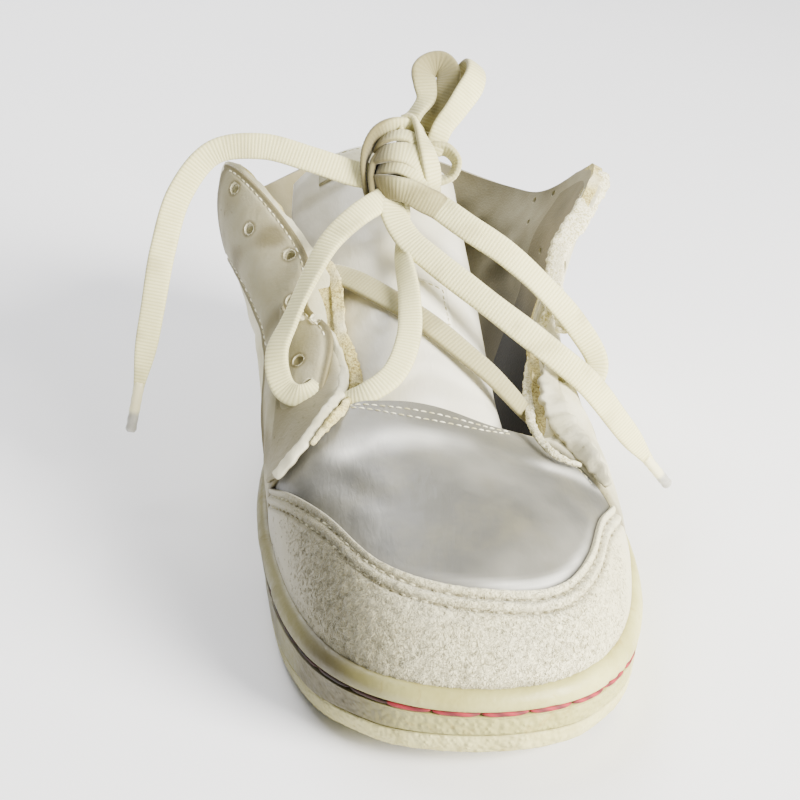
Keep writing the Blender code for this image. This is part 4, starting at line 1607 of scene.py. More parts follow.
@dataclass
class Shell:
    """The upper's one wall: satin vamp, leather quarters, knit lining and torn foam at the throat."""

    columns: int = 480
    rows: int = 74
    inner_rows: int = 46
    vamp: tuple = (8.3, 14.9)
    tear_lateral: tuple = (6.3, 8.35)
    tear_medial: tuple = (15.0, 17.4)
    tear_low: float = 0.94

    def climbs(self) -> tuple:
        """Climb and side of each row, up the outside, over the rim and down the inside.

        Returns:
            The climbs and the sides, 0 outside and 1 inside.
        """
        outside = np.linspace(0, 1, self.rows)
        inside = np.linspace(1, 0, self.inner_rows)
        climbs = np.concatenate([outside, inside, [0.0]])
        return climbs, np.concatenate([np.zeros(self.rows), np.ones(self.inner_rows), [0.0]])

    def build(self, closet: Wardrobe) -> None:
        """Builds the shell.

        Args:
            closet: The finishes.
        """
        climbs, sides = self.climbs()

        def place(turn: Array, row: Array) -> Array:
            """Points of both faces of the wall, ragged along the torn throat.

            Args:
                turn: Places round the shoe.
                row: Row numbers.

            Returns:
                Rows of x, y and z in millimetres.
            """
            index = np.rint(row).astype(int)
            climb, inside = climbs[index], sides[index]
            wall = LAST.wall(turn, climb)
            flap = ramp(turn, 4.3, 5.2) * (1 - ramp(turn, 8.1, 8.5))
            flap += ramp(turn, 14.8, 15.4) * (1 - ramp(turn, 19.0, 20.0))
            wall = wall + 1.1 * flap * ramp(climb, 0.6, 0.95)
            points = LAST.at(turn, climb, -inside * wall)
            ragged = flap * ramp(climb, 0.985, 1.0)
            rough = 0.5 * uneven(points, 2.2, 8) + 0.35 * uneven(points, 5.0, 9)
            points[:, 2] += ragged * rough
            points[:, 0] += ragged * 0.5 * uneven(points, 3.0, 12)
            return points

        turns = np.linspace(0, TURNS, self.columns + 1)
        made = lattice("upper_shell", turns, np.arange(len(climbs)), place, (30.0, 1.2))
        row, turn = read(made, "v"), read(made, "u")
        index = np.rint(row).astype(int)
        climb, inside = climbs[index], sides[index]
        note(made, "climb", climb)
        note(made, "inside", inside)
        near_sole = 1 - ramp(climb, above_lip(turn), above_lip(turn) + 0.14)
        points = coordinates(made)
        soil_and_shade = 0.3 * near_sole + 0.22 * ramp(uneven(points, 12, 11), 0.1, 0.8)
        on_vamp = (turn > self.vamp[0]) & (turn < self.vamp[1]) & (inside < 0.5)
        seam = rib_length(turn, np.minimum(cap_edge(turn), climb), climb)
        near_seam = 1 - ramp(seam, 0.5, 6.0)
        scratch = bell(turn, 12.6, 0.16) * bell(climb, 0.77, 0.03)
        medial = ramp(turn, 15.0, 15.8) * (1 - ramp(turn, 20.4, 21.6))
        # painted shadow: the lining inside the medial side of the throat is darkened below 44 mm, fading out
        # by 70 mm
        soil_and_shade = np.maximum(soil_and_shade, (inside > 0.3) * medial * (1 - ramp(points[:, 2], 44, 70)))
        soil_and_shade = np.where(on_vamp, 0.35 * near_seam + 0.5 * scratch + 0.3 * ramp(climb, 0.86, 1.0), soil_and_shade)
        note(made, "soil_and_shade", np.clip(soil_and_shade, 0, 1))
        # painted highlights on the vamp: a band on the lateral part of its upper crest, a spot on its medial
        # side and a line just above the toe cap's edge
        x, y, _ = points.T
        crest = bell(y, -169.5, 4.5) * (1 - ramp(x, -14, 16)) * ramp(x, -37, -27)
        crest += 0.8 * bell(y, -171, 2.6) * ramp(x, 22, 34)
        painted_highlight = crest + 1.1 * bell(turn, 12.75, 0.8) * bell(seam, 2.2, 1.6)
        painted_highlight *= 0.8 + 0.35 * uneven(points, 5, 15)
        note(made, "painted_highlight", np.where(on_vamp, np.clip(painted_highlight, 0, 1), 0.0))
        self.paint(made)
        weld(made)
        lining = closet.lining, closet.pale_lining
        dress(made, "white_leather", closet.leather, closet.satin, *lining, closet.foam)
        punch(made, ((20.45, 0.95), (20.0, 0.96), (20.25, 0.82), (19.4, 0.66)), 1.25, inside=True)
        punch(made, EYELETS_LATERAL + EYELETS_MEDIAL, 1.7)
        soften(made, 60)
        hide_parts("upper")
        self.stitches(closet)

    def stitches(self, closet: Wardrobe) -> None:
        """Double rows along the vamp's rear edge and under the collar, and the heel's back seam.

        Args:
            closet: The finishes.
        """
        rows = (
            (8.7, 14.3, 0.975, 0.975), (8.7, 14.3, 0.952, 0.952), (19.5, 28.5, 0.9, 0.9),
            (19.5, 28.5, 0.865, 0.865), (14.86, 14.92, 0.6, 0.93), (14.72, 14.78, 0.6, 0.92),
            (24.06, 24.06, 0.73, 0.86), (23.94, 23.94, 0.73, 0.86),
        )
        for number, (first, last, low, high) in enumerate(rows):
            turn, climb = np.linspace(first, last, 700), np.linspace(low, high, 700)
            places = frames_along(LAST.at(turn, climb, 0.12), LAST.normal(turn, climb), 2.5)
            dress(scatter(f"seam_stitches_{number}", bead(1.9, 0.22), places), "white_leather", closet.cream)

    def paint(self, shell: bpy.types.Object) -> None:
        """Sets each face's material: leather, satin, lining, pale lining or foam.

        Args:
            shell: The shell's piece.
        """
        turn, climb, inside, row = (read(shell, name) for name in ("u", "climb", "inside", "v"))
        tears = self.tear_lateral, self.tear_medial
        chosen = []
        for face in shell.data.polygons:
            corners = list(face.vertices)
            t, c, i, r = (float(np.mean(values[corners])) for values in (turn, climb, inside, row))
            torn = i < 0.5 and c > self.tear_low and any(low < t < high for low, high in tears)
            throat = 4.6 < t < 8.35 or 14.85 < t < 19.4
            if torn or throat and 0.984 < c and self.rows - 1.5 < r < self.rows + 0.9:
                facing = Facing.FOAM
            elif i > 0.4 and r > self.rows - 0.9:
                # the heel lining is paler, and the lining along the rim near the rear of both flaps is paler
                # as a painted highlight on the rolled rim
                pale = t < 4.2 or t > 19.8 or (c > 0.93 and (t > 18.2 or t < 5.6))
                facing = Facing.PALE_LINING if pale else Facing.LINING
            elif self.vamp[0] < t < self.vamp[1]:
                facing = Facing.SATIN
            else:
                facing = Facing.LEATHER
            chosen.append(facing.value)
        shell.data.polygons.foreach_set("material_index", chosen)


@dataclass
class ToeCap:
    """The suede toe cap with a double row of stitches along its rear edge."""

    thick: float = 1.5
    nap: float = 0.22
    rows_at: tuple = (2.4, 5.6)
    hairs: int = 9000
    hair: tuple = ((0.0, 0.0, 0.08), (0.4, 0.2, 0.07), (0.75, 0.22, 0.055), (1.0, 0.12, 0.0))

    def climb(self, turn: Array, share: Array) -> Array:
        """The climb at a share of the way from the lower to the upper edge."""
        low = above_lip(turn)
        return low + (cap_edge(turn) - low) * share

    def surface(self, turn: Array, share: Array, lift: Array) -> Array:
        """Points over the cap."""
        return LAST.at(turn, self.climb(turn, share), lift)

    def hairiness(self, turn: Array, share: Array) -> Array:
        """1 where the nap is long and 0 where it is rubbed away.

        Args:
            turn: Places round the shoe.
            share: Places up the piece, 0 to 1.

        Returns:
            Shares, 0 to 1.
        """
        left = ramp(turn, 8.7 + 0.9 * (1 - share), 9.9 + 1.0 * (1 - share))
        greasy = 0.5 * ramp(turn, 12.5 + 0.4 * share, 13.4 + 0.5 * share)
        right = (1 - greasy) * (1 - ramp(turn, 13.5 + 0.8 * share, 14.0 + 0.9 * share))
        return left * right

    def behind_edge(self, turn: Array, share: Array) -> Array:
        """Distance in millimetres from the rear edge."""
        low, high = above_lip(turn), cap_edge(turn)
        return (1 - share) * rib_length(turn, low, high)

    def thickness(self, turn: Array, share: Array) -> Array:
        """Leather with its nap, pressed down along the stitches.

        Args:
            turn: Places round the shoe.
            share: Places up the piece, 0 to 1.

        Returns:
            Millimetres, one for each place.
        """
        points = LAST.bare(turn, self.climb(turn, share))
        hairy = self.hairiness(turn, share)
        clumps = uneven(points, 1.1, 21) + 0.8 * uneven(points, 2.4, 22)
        back = self.behind_edge(turn, share)
        pressed = sum(bell(back, row, 0.75) for row in self.rows_at)
        puffed = 0.35 * bell(back, sum(self.rows_at) / 2, 1.0)
        return self.thick + self.nap * hairy * clumps * (1 - 0.8 * pressed) - 0.75 * pressed + puffed

    def build(self, closet: Wardrobe) -> None:
        """Builds the cap, its stitches and its nap.

        Args:
            closet: The finishes.
        """
        made = pillow(
            "toe_cap_suede", fringe(8.42, 14.78, 330, 30.0), fringe(0, 1, 84, 40.0),
            self.surface, self.thickness, 0.15, (30.0, 40.0), 0.7,
        )
        turn, share, points = read(made, "u"), read(made, "v"), coordinates(made)
        note(made, "nap", np.clip(self.hairiness(turn, share), 0, 1))
        back = self.behind_edge(turn, share)
        rows = sum(bell(back, row, 0.5) for row in self.rows_at)
        low = 1 - ramp(share, 0.0, 0.12)
        smear = bell(turn, 12.2, 0.5) * bell(share, 0.04, 0.05)
        soil_and_shade = 0.8 * rows + 0.25 * low + 0.4 * smear + 0.25 * ramp(uneven(points, 9, 31), 0.2, 0.8) * low
        # painted shade: the cap darkens toward its lateral side; it is also a little darker across its middle
        soil_and_shade += 0.95 * ramp(-points[:, 0], 4, 40) + 0.16 * bell(points[:, 0], -2, 16)
        note(made, "soil_and_shade", np.clip(soil_and_shade, 0, 0.85))
        soften(made, 70)
        dress(made, "hairy_suede", closet.suede)
        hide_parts("toe_cap")
        self.stitches(closet)
        self.fur(closet)

    def stitches(self, closet: Wardrobe) -> None:
        """Two rows of sunken stitches.

        Args:
            closet: The finishes.
        """
        for number, distance in enumerate(self.rows_at):
            turn = np.linspace(8.6, 14.6, 900)
            low, high = above_lip(turn), cap_edge(turn)
            share = 1 - distance / rib_length(turn, low, high)
            climb = low + (high - low) * share
            lift = self.thickness(turn, share) + 0.2
            places = frames_along(LAST.at(turn, climb, lift), LAST.normal(turn, climb), 3.3)
            row = scatter(f"cap_stitches_{number}", bead(2.3, 0.42), places)
            dress(row, "hairy_suede", closet.dull)

    def fur(self, closet: Wardrobe) -> None:
        """Curly hairs that lie over the suede.

        Args:
            closet: The finishes.
        """
        chance = np.random.default_rng(7)
        turn, share = chance.uniform(8.8, 14.6, 3 * self.hairs), chance.uniform(0.03, 0.99, 3 * self.hairs)
        back = self.behind_edge(turn, share)
        bare = np.clip(sum(bell(back, row, 0.9) for row in self.rows_at) + (back < 1.6), 0, 1)
        keep = chance.uniform(0, 1, len(turn)) < (self.hairiness(turn, share) * 0.9 + 0.02) * (1 - bare)
        turn, share = turn[keep][: self.hairs], share[keep][: self.hairs]
        count = len(turn)
        climb = self.climb(turn, share)
        normal = LAST.normal(turn, climb)
        base = LAST.at(turn, climb, self.thickness(turn, share) - 0.05)
        level = unit(np.cross(normal, (0.0, 0.3, 1.0)))
        other = np.cross(normal, level)
        angle = chance.uniform(0, 2 * np.pi, count)
        bend = chance.normal(0, 1.5, count)
        reach = chance.uniform(0.7, 1.9, count)
        rings = []
        for step, (share_out, rise, width) in enumerate(self.hair):
            turned = angle + bend * share_out
            ahead = np.cos(turned)[:, None] * level + np.sin(turned)[:, None] * other
            if step == 0:
                spot = base
            else:
                spot = spot + ahead * (reach * (share_out - before))[:, None] + normal * (rise - height)
            before, height = share_out, rise
            side = np.cross(normal, ahead)
            if width:
                ring = [spot + side * width, spot - side * width, spot + normal * 1.3 * width]
                rings.append(np.stack(ring, axis=1))
            else:
                rings.append(spot[:, None, :])
        corners = np.concatenate(rings, axis=1)
        pairs = ((0, 1), (1, 2), (2, 0))
        pattern = [(0, 2, 1)]
        pattern += [(ring + a, ring + b, ring + 3 + b, ring + 3 + a) for ring in (0, 3) for a, b in pairs]
        pattern += [(6 + a, 6 + b, 9) for a, b in pairs]
        faces = [tuple(index + 10 * hair for index in face) for hair in range(count) for face in pattern]
        mesh = bpy.data.meshes.new("toe_cap_nap")
        mesh.from_pydata((corners.reshape(-1, 3) * MM).tolist(), [], faces)
        obj = bpy.data.objects.new("toe_cap_nap", mesh)
        bpy.context.scene.collection.objects.link(obj)
        note(obj, "nap", 1.0)
        # the hairs take the same painted shade toward the lateral side
        note(obj, "soil_and_shade", 0.9 * ramp(-coordinates(obj)[:, 0], 4, 40))
        obj.data.shade_smooth()
        dress(obj, "hairy_suede", closet.suede)


@dataclass
class Overlay:
    """A cut piece of leather sewn over the shell."""

    name: str
    turns: tuple
    low: Callable
    high: Callable
    thick: float = 1.15
    curl: Callable = flat
    lean: Callable = flat
    # darkening of the whole piece, which on the lateral eyestay is painted shade
    grime_and_shade: float = 0.0
    columns: int = 200
    rows: int = 60
    seam: float = 1.9
    thread_mm: float = 2.6
    wide: float = 13.0
    high_mm: float = 40.0

    def climb(self, turn: Array, share: Array) -> Array:
        """The climb at a share of the way up the piece."""
        low = self.low(turn)
        return low + (self.high(turn) - low) * share

    def lift(self, turn: Array, climb: Array) -> Array:
        """How far the piece stands off the skin."""
        return 0.12 + self.curl(turn, climb)

    def surface(self, turn: Array, share: Array, lift: Array) -> Array:
        """Points over the piece."""
        climb = self.climb(turn, share)
        return LAST.at(turn + self.lean(turn, climb), climb, lift + self.lift(turn, climb))

    def edges(self, turn: Array, share: Array) -> tuple:
        """Distances in millimetres from the lower, upper, first and last edge.

        Args:
            turn: Places round the shoe.
            share: Places up the piece, 0 to 1.

        Returns:
            Four distances for each place.
        """
        low, high = self.low(turn), self.high(turn)
        whole = rib_length(turn, low, high)
        first, last = self.turns
        return share * whole, (1 - share) * whole, (turn - first) * self.wide, (last - turn) * self.wide

    def thickness(self, turn: Array, share: Array) -> Array:
        """Leather pressed down along its seams.

        Args:
            turn: Places round the shoe.
            share: Places up the piece, 0 to 1.

        Returns:
            Millimetres, one for each place.
        """
        down, up, _, _ = self.edges(turn, share)
        points = LAST.bare(turn, self.climb(turn, share))
        pressed = bell(up, self.seam, 0.55) + bell(down, self.seam, 0.55)
        return self.thick + 0.06 * uneven(points, 3.2, 41) - 0.45 * pressed

    def soil_and_shade(self, turn: Array, share: Array) -> Array:
        """Dirt along edges and round the eyelets, random specks and patches, over the piece's own darkening,
        which on the lateral eyestay is painted shade.

        Args:
            turn: Places round the shoe.
            share: Places up the piece, 0 to 1.

        Returns:
            Shares, 0 to 1.
        """
        points = LAST.bare(turn, self.climb(turn, share))
        near = 1 - ramp(np.minimum.reduce([np.abs(side) for side in self.edges(turn, share)]), 0.4, 2.4)
        specks = 0.6 * ramp(uneven(points, 1.1, 43), 0.75, 1.1) * ramp(uneven(points, 9, 44), 0.0, 0.5)
        holes = np.array(EYELETS_LATERAL + EYELETS_MEDIAL)
        away = np.linalg.norm(points[:, None] - LAST.at(holes[:, 0], holes[:, 1])[None], axis=2).min(1)
        specks = specks + 0.7 * (1 - ramp(away, 1.8, 3.2))
        patches = 0.3 * ramp(uneven(points, 10, 42), 0.05, 0.8)
        return np.clip(self.grime_and_shade + specks + 0.42 * near + patches, 0, 0.95)

    def row(self, closet: Wardrobe, number: int, inset: float, first: float, last: float) -> None:
        """One row of stitches along the piece.

        Args:
            closet: The materials.
            number: Number of the row in its name.
            inset: Distance in millimetres below the upper edge, or above the lower one where it is negative.
            first: Turn where it begins.
            last: Turn where it ends.
        """
        turn = np.linspace(first, last, 500)
        at = inset / rib_length(turn, self.low(turn), self.high(turn))
        at = 1 - at if inset > 0 else -at
        climb = self.climb(turn, at)
        lift = self.thickness(turn, at) + self.lift(turn, climb) + 0.1
        leant = turn + self.lean(turn, climb)
        places = frames_along(LAST.at(leant, climb, lift), LAST.normal(leant, climb), self.thread_mm)
        made = scatter(f"{self.name}_stitches_{number}", bead(self.thread_mm * 0.8, 0.3), places)
        dress(made, "white_leather", closet.cream)

    def build(self, closet: Wardrobe, node: str, holes: Sequence = ()) -> bpy.types.Object:
        """Builds the piece and cuts its holes.

        Args:
            closet: The materials.
            node: The CAD node that it stands for.
            holes: Turns and climbs of its eyelets.

        Returns:
            The piece.
        """
        made = pillow(
            self.name, fringe(*self.turns, self.columns, self.wide), fringe(0, 1, self.rows, self.high_mm),
            self.surface, self.thickness, 0.0, (self.wide, self.high_mm), 0.5,
        )
        turn, share = read(made, "u"), read(made, "v")
        note(made, "soil_and_shade", self.soil_and_shade(turn, share))
        dress(made, "white_leather", closet.leather)
        if len(holes):
            punch(made, holes)
        soften(made, 55)
        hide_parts(node)
        return made


class Leathers:
    """The cut pieces sewn over the shell: both eyestays and the heel counter."""

    # the lateral eyestay's heavy darkening is painted shade
    LATERAL = Overlay(
        "eyestay_lateral_leather", (4.8, 8.4), lateral_low, lateral_high, curl=curl, lean=lean, grime_and_shade=0.62
    )
    MEDIAL = Overlay("eyestay_medial_leather", (14.8, 19.2), medial_low, medial_high, grime_and_shade=0.12)
    COUNTER = Overlay("heel_counter_leather", (20.8, 27.2), above_lip, counter_high)

    def build(self, closet: Wardrobe) -> None:
        """Builds each piece with its eyelets and two rows of stitches.

        Args:
            closet: The finishes.
        """
        for overlay, node, holes, rows in (
            (self.LATERAL, "eyestay_lateral", EYELETS_LATERAL, ((1.9, 4.95, 7.0), (-1.9, 4.95, 6.6))),
            (self.MEDIAL, "eyestay_medial", EYELETS_MEDIAL, ((1.9, 17.0, 19.05), (-1.9, 16.9, 19.05))),
            (self.COUNTER, "heel_counter", (), ((1.9, 20.95, 27.05), (4.3, 21.1, 26.9))),
        ):
            overlay.build(closet, node, holes)
            for number, row in enumerate(rows):
                overlay.row(closet, number, *row)


def punch(obj: bpy.types.Object, holes: Sequence, radius: float = 2.0, inside: bool = False) -> None:
    """Cuts round holes square to the skin.

    Args:
        obj: The piece to cut.
        holes: Turns and climbs of the holes.
        radius: Their radius in millimetres.
        inside: Whether they are pockets in the wall's inner face instead of going through.
    """
    cutters = []
    for turn, climb in holes:
        turn, climb = np.array([turn]), np.array([climb])
        middle = Vector(LAST.at(turn, climb, -LAST.wall(turn, climb) if inside else 0.0)[0])
        normal = Vector(LAST.normal(turn, climb)[0])
        deselect()
        bpy.ops.mesh.primitive_cylinder_add(vertices=20, radius=1.0, depth=1.0)
        cut = bpy.context.object
        turned = normal.to_track_quat("Z", "Y").to_matrix()
        points = coordinates(cut) * MM * np.array((radius, radius * 0.93, 3.6 if inside else 12.0))
        set_coordinates(cut, points @ np.array(turned).T + np.array(middle))
        cutters.append(cut)
    cutter = join(cutters, "punch")
    note(cutter, "soil_and_shade", 1.0)
    only(obj)
    cut = obj.modifiers.new("holes", "BOOLEAN")
    cut.object, cut.operation, cut.solver = cutter, "DIFFERENCE", "MANIFOLD"
    bpy.ops.object.modifier_apply(modifier=cut.name)
    bpy.data.objects.remove(cutter)


# ---- tongue


@dataclass
class Tongue:
    """The padded satin tongue with its bare label tab and the stitched remains of a patch."""

    thick: float = 6.5
    edge: float = 1.6
    label: tuple = ((0.84, 0.965), (-0.62, 0.62))
    patch: tuple = ((0.30, 0.44), (0.12, 0.50))
    scale: tuple = (28.0, 110.0)
    inset: float = 1.6
    columns: int = 130
    rows: int = 90
    SECTIONS = (
        (0, -4, -148, 58.5, 27, 11),
        (1, -5, -128, 68, 27, 17),
        (2, -7, -104, 80, 28, 18),
        (3, -9, -80, 91, 29, 17),
        (4, -11, -58, 103, 29, 15),
        (5, -11, -42, 112, 28, 14),
    )

    def middle(self, along: Array, across: Array) -> Array:
        """Points of the middle face."""
        x, y, z, half, drop = through(self.SECTIONS, along * 5).T
        return np.column_stack([x + half * across, y, z - drop * across**2])

    def face(self, along: Array, across: Array, lift: Array) -> Array:
        """Points at a lift over the middle face.

        Args:
            along: Places along it.
            across: Places across it.
            lift: Distances outward in millimetres.

        Returns:
            Rows of x, y and z in millimetres.
        """
        step = 0.02
        ahead, behind = np.minimum(along + step, 1), np.maximum(along - step, 0)
        up = self.middle(ahead, across) - self.middle(behind, across)
        side = self.middle(along, across + step) - self.middle(along, across - step)
        normal = unit(np.cross(side, up))
        return self.middle(along, across) + np.asarray(lift)[:, None] * normal

    def swell(self, along: Array, across: Array) -> Array:
        """Thickness of the pad."""
        full = (1 - np.abs(across) ** 5) * ramp(along, -0.04, 0.14) * (1 - 0.7 * ramp(along, 0.93, 1.0))
        return self.edge + (self.thick - self.edge) * full

    def wrinkles(self, along: Array, across: Array) -> Array:
        """Soft folds where the lace presses and where the tongue bends.

        Args:
            along: Places along it.
            across: Places across it.

        Returns:
            Lifts, one for each place.
        """
        lift = 0.0 * along
        for place, slant, width, depth in (
            (0.10, 0.05, 0.022, 0.5), (0.24, -0.06, 0.03, 0.6), (0.37, 0.05, 0.03, 0.45),
            (0.52, -0.04, 0.03, 0.5), (0.66, 0.06, 0.03, 0.5), (0.80, 0.0, 0.02, 0.8),
        ):
            at = place + slant * across + 0.02 * np.sin(5 * across + 9 * place)
            lift = lift - depth * bell(along, at, width) + 0.5 * depth * bell(along, at + 2.2 * width, width)
        points = self.middle(along, across)
        return lift + 0.35 * uneven(points, 9, 51) + 0.12 * uneven(points, 3.4, 52)

    def top(self, along: Array, across: Array) -> Array:
        """Lift of the pad's outer face."""
        inner = (1 - np.abs(across) ** 4) * ramp(along, 0.0, 0.06) * (1 - ramp(along, 0.94, 1.0))
        return 0.5 * self.swell(along, across) + self.wrinkles(along, across) * inner * 0.6

    def surface(self, across: Array, along: Array, lift: Array) -> Array:
        """Points over the middle face, for pillow()."""
        return self.face(along, across, lift)

    def padding(self, across: Array, along: Array) -> Array:
        """Thickness of the wrinkled pad, for pillow()."""
        return self.top(along, across) + 0.5 * self.swell(along, across)

    def build(self, closet: Wardrobe) -> None:
        """Builds the pad, the label and the patch.

        Args:
            closet: The finishes.
        """
        made = pillow(
            "tongue_pad", fringe(-1, 1, self.columns, self.scale[0]), fringe(0, 1, self.rows, self.scale[1]),
            self.surface, self.padding, 0.0, self.scale, 1.2,
        )
        along, across, top = read(made, "v"), read(made, "u"), read(made, "top")
        points = coordinates(made)
        sink = self.face(along, across, -0.5 * self.swell(along, across))
        sink = sink - self.face(along, across, 0 * along)
        set_coordinates(made, points + sink)
        # painted shade on the pad's underside and along its sides, with random dirt patches
        grime_and_shade = 0.45 * ramp(uneven(points, 13, 53), 0.1, 0.9) + 0.3 * (1 - top)
        note(made, "soil_and_shade", np.clip(grime_and_shade + 0.35 * ramp(np.abs(across), 0.8, 1.0), 0, 1))
        soften(made, 55)
        dress(made, "grey_satin", closet.tongue_satin)
        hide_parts("tongue")
        self.trim("tongue_label_tab", "tongue_label", self.label, closet.leather, 1.0, closet)
        self.trim("tongue_patch_worn", "tongue_patch", self.patch, closet.patch, 0.8, closet)

    def trim(
        self, name: str, node: str, where: tuple, finish: bpy.types.Material, thick: float, closet: Wardrobe
    ) -> None:
        """A thin piece sewn on the pad with a row of stitches round it.

        Args:
            name: The piece's name.
            node: The CAD node that it stands for.
            where: Its range along and across.
            finish: Its material.
            thick: Its thickness in millimetres.
            closet: The materials.
        """
        (low, high), (left, right) = where
        wide, long = self.scale

        def over(across: Array, along: Array, lift: Array) -> Array:
            """Points over the pad's outer face."""
            return self.face(along, across, self.top(along, across) + lift)

        def thickness(across: Array, along: Array) -> Array:
            """The piece's slightly uneven thickness."""
            return 0.05 * uneven(self.middle(along, across), 2.4, 54) + thick

        columns, rows = fringe(left, right, 60, wide), fringe(low, high, 40, long)
        made = pillow(name, columns, rows, over, thickness, 0.05, self.scale, 0.4)
        along, across = read(made, "v"), read(made, "u")
        far_along = np.abs(along - (low + high) / 2) / (high - low)
        far = np.maximum(far_along, np.abs(across - (left + right) / 2) / (right - left))
        note(made, "soil_and_shade", 0.5 * ramp(far, 0.36, 0.5))
        soften(made, 50)
        dress(made, "white_leather", finish)
        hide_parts(node)
        low, high = low + self.inset / long, high - self.inset / long
        left, right = left + self.inset / wide, right - self.inset / wide
        corners = np.array([(low, left), (low, right), (high, right), (high, left), (low, left)])
        along, across = (np.interp(np.linspace(0, 4, 240), np.arange(5), side) for side in corners.T)
        points = self.face(along, across, self.top(along, across) + thick + 0.15)
        below = self.face(along, across, 0 * along)
        made = scatter(f"{name}_stitches", bead(1.9, 0.26), frames_along(points, unit(points - below), 2.5))
        dress(made, "white_leather", closet.cream)


# ---- strips


@dataclass
class Band:
    """A flat strip with rounded edges that follows a path: lace, torn edge or leather leaf.

    Attributes:
        name: The piece's name.
        path: Middle line in millimetres.
        rolls: Degrees by which the flat face turns from its default, at even places along the path.
        fold: Default direction of the flat face, where it isn't turned away from a middle.
        about: A middle that the flat face is turned away from, as on a knot or a loop.
        widths: Share of the full width, at even places along the path.
        soil_and_shade: Dirt and painted shade, at even places along the path.
        ends: Share of the full width at its two ends, which are rounded off.
        ragged: Depth in millimetres of uneven tears and crumples, and the distance between them.
        rib_high: Height of the ribs across it.
    """

    name: str
    path: Sequence
    rolls: Sequence = (0.0,)
    fold: Fold = Fold.VIEWER
    about: Sequence | None = None
    widths: Sequence = (1.0,)
    soil_and_shade: Sequence = (0.1,)
    ends: tuple = (0.6, 0.6)
    half_width: float = 4.3
    half_thick: float = 1.05
    ragged: tuple = (0.0, 3.0)
    rib: float = 1.15
    rib_high: float = 0.0
    step: float = 0.3
    sides: int = 16

    def middle(self) -> tuple:
        """Points, tangents and distances at even steps along the path.

        Returns:
            Three arrays with one row for each step.
        """
        rows = np.array(self.path, float)
        chord = np.concatenate([[0], np.cumsum(np.sqrt(np.linalg.norm(np.diff(rows, axis=0), axis=1)))])
        fine = through(np.column_stack([chord, rows]), np.linspace(0, chord[-1], 1200))
        reach = np.concatenate([[0], np.cumsum(np.linalg.norm(np.diff(fine, axis=0), axis=1))])
        count = int(reach[-1] / self.step) + 1
        places = np.linspace(0, reach[-1], count)
        points = np.column_stack([np.interp(places, reach, fine[:, i]) for i in range(3)])
        wide = np.clip(np.arange(count)[:, None] + np.array((-6, 6)), 0, count - 1)
        return points, unit(points[wide[:, 1]] - points[wide[:, 0]]), places

    def along(self, values: Sequence, share: Array) -> Array:
        """Reads evenly spaced values at shares of the way."""
        count = max(len(values), 2)
        return through(np.column_stack([np.linspace(0, 1, count), np.resize(values, count)]), share)[:, 0]

    def faces(self, points: Array, tangents: Array) -> Array:
        """The flat face's normals, smoothed and rolled.

        Args:
            points: The path's points.
            tangents: The path's directions.

        Returns:
            Rows of length 1.
        """
        if self.about is None:
            hint = np.tile(np.array(self.fold.value), (len(points), 1))
        else:
            hint = points - np.array(self.about, float)
        normal = hint - np.sum(tangents * hint, axis=1)[:, None] * tangents
        reach = min(25, len(points) // 3)
        kernel = np.hanning(2 * reach + 1)
        padded = np.pad(normal, ((reach, reach), (0, 0)), mode="edge")
        normal = np.column_stack([np.convolve(padded[:, i], kernel, "valid") for i in range(3)])
        normal = unit(normal - np.sum(normal * tangents, axis=1)[:, None] * tangents)
        angle = np.radians(self.along(self.rolls, np.linspace(0, 1, len(points))))
        side = np.cross(tangents, normal)
        return np.cos(angle)[:, None] * normal + np.sin(angle)[:, None] * side

    def mesh(self) -> bpy.types.Object:
        """Builds the closed mesh of the strip.

        Returns:
            The strip, without a finish.
        """
        points, tangents, places = self.middle()
        normals = self.faces(points, tangents)
        sides = np.cross(tangents, normals)
        count, self.length = len(points), places[-1]
        share = places / self.length
        wide = self.half_width * self.along(self.widths, share)
        from_end = np.minimum(places, self.length - places)
        end_share = np.where(share < 0.5, self.ends[0], self.ends[1])
        closing = end_share + (1 - end_share) * np.sqrt(1 - (1 - np.clip(from_end / 1.2, 0, 1)) ** 2)
        closing = np.where(from_end < 1e-6, 0.0, closing)
        ridge = self.rib_high * np.sin(2 * np.pi * places / self.rib)
        cup = 0.25 * uneven(np.column_stack([places, 0 * places, 0 * places]), 17, len(self.name))

        def place(ring: Array, angle: Array) -> Array:
            """Points of the strip's skin.

            Args:
                ring: Ring numbers.
                angle: Angles round the section.

            Returns:
                Rows of x, y and z in millimetres.
            """
            index = np.rint(ring).astype(int)
            cosine, sine = np.cos(angle), np.sin(angle)
            out = np.sign(cosine) * np.abs(cosine) ** 0.62
            high = np.sign(sine) * np.abs(sine) ** 0.72
            piped = 1 + 0.14 * ramp(np.abs(out), 0.72, 0.92)
            x = out * wide[index] * closing[index]
            y = high * (self.half_thick * piped + ridge[index]) * closing[index] + cup[index] * (out**2 - 0.4)
            made = points[index] + x[:, None] * sides[index] + y[:, None] * normals[index]
            depth, size = self.ragged
            if depth:
                tear = np.clip(from_end[index] / 2, 0, 1) * depth
                made = made + (tear * uneven(made, size, 5))[:, None] * normals[index]
                made = made + (tear * uneven(made, size * 0.6, 6))[:, None] * sides[index]
            return made

        turned = np.linspace(0, 2 * np.pi, self.sides + 1)
        made = lattice(self.name, np.arange(count, dtype=float), turned, place)
        ring, angle = np.rint(read(made, "u")).astype(int), read(made, "v")
        corners = np.empty(len(made.data.loops), np.int64)
        made.data.loops.foreach_get("vertex_index", corners)
        spread = np.column_stack([np.cos(angle) * self.half_width, places[ring]])[corners]
        made.data.uv_layers[0].data.foreach_set("uv", spread.ravel())
        # painted shade along both edges of the strip
        edge = 0.35 * ramp(np.abs(np.cos(angle)), 0.88, 1.0)
        marks = 0.2 * ramp(uneven(coordinates(made), 6, 61), 0.2, 0.8)
        note(made, "soil_and_shade", np.clip(self.along(self.soil_and_shade, share)[ring] + edge + marks, 0, 0.9))
        weld(made, 0.001)
        made.data.shade_smooth()
        return made


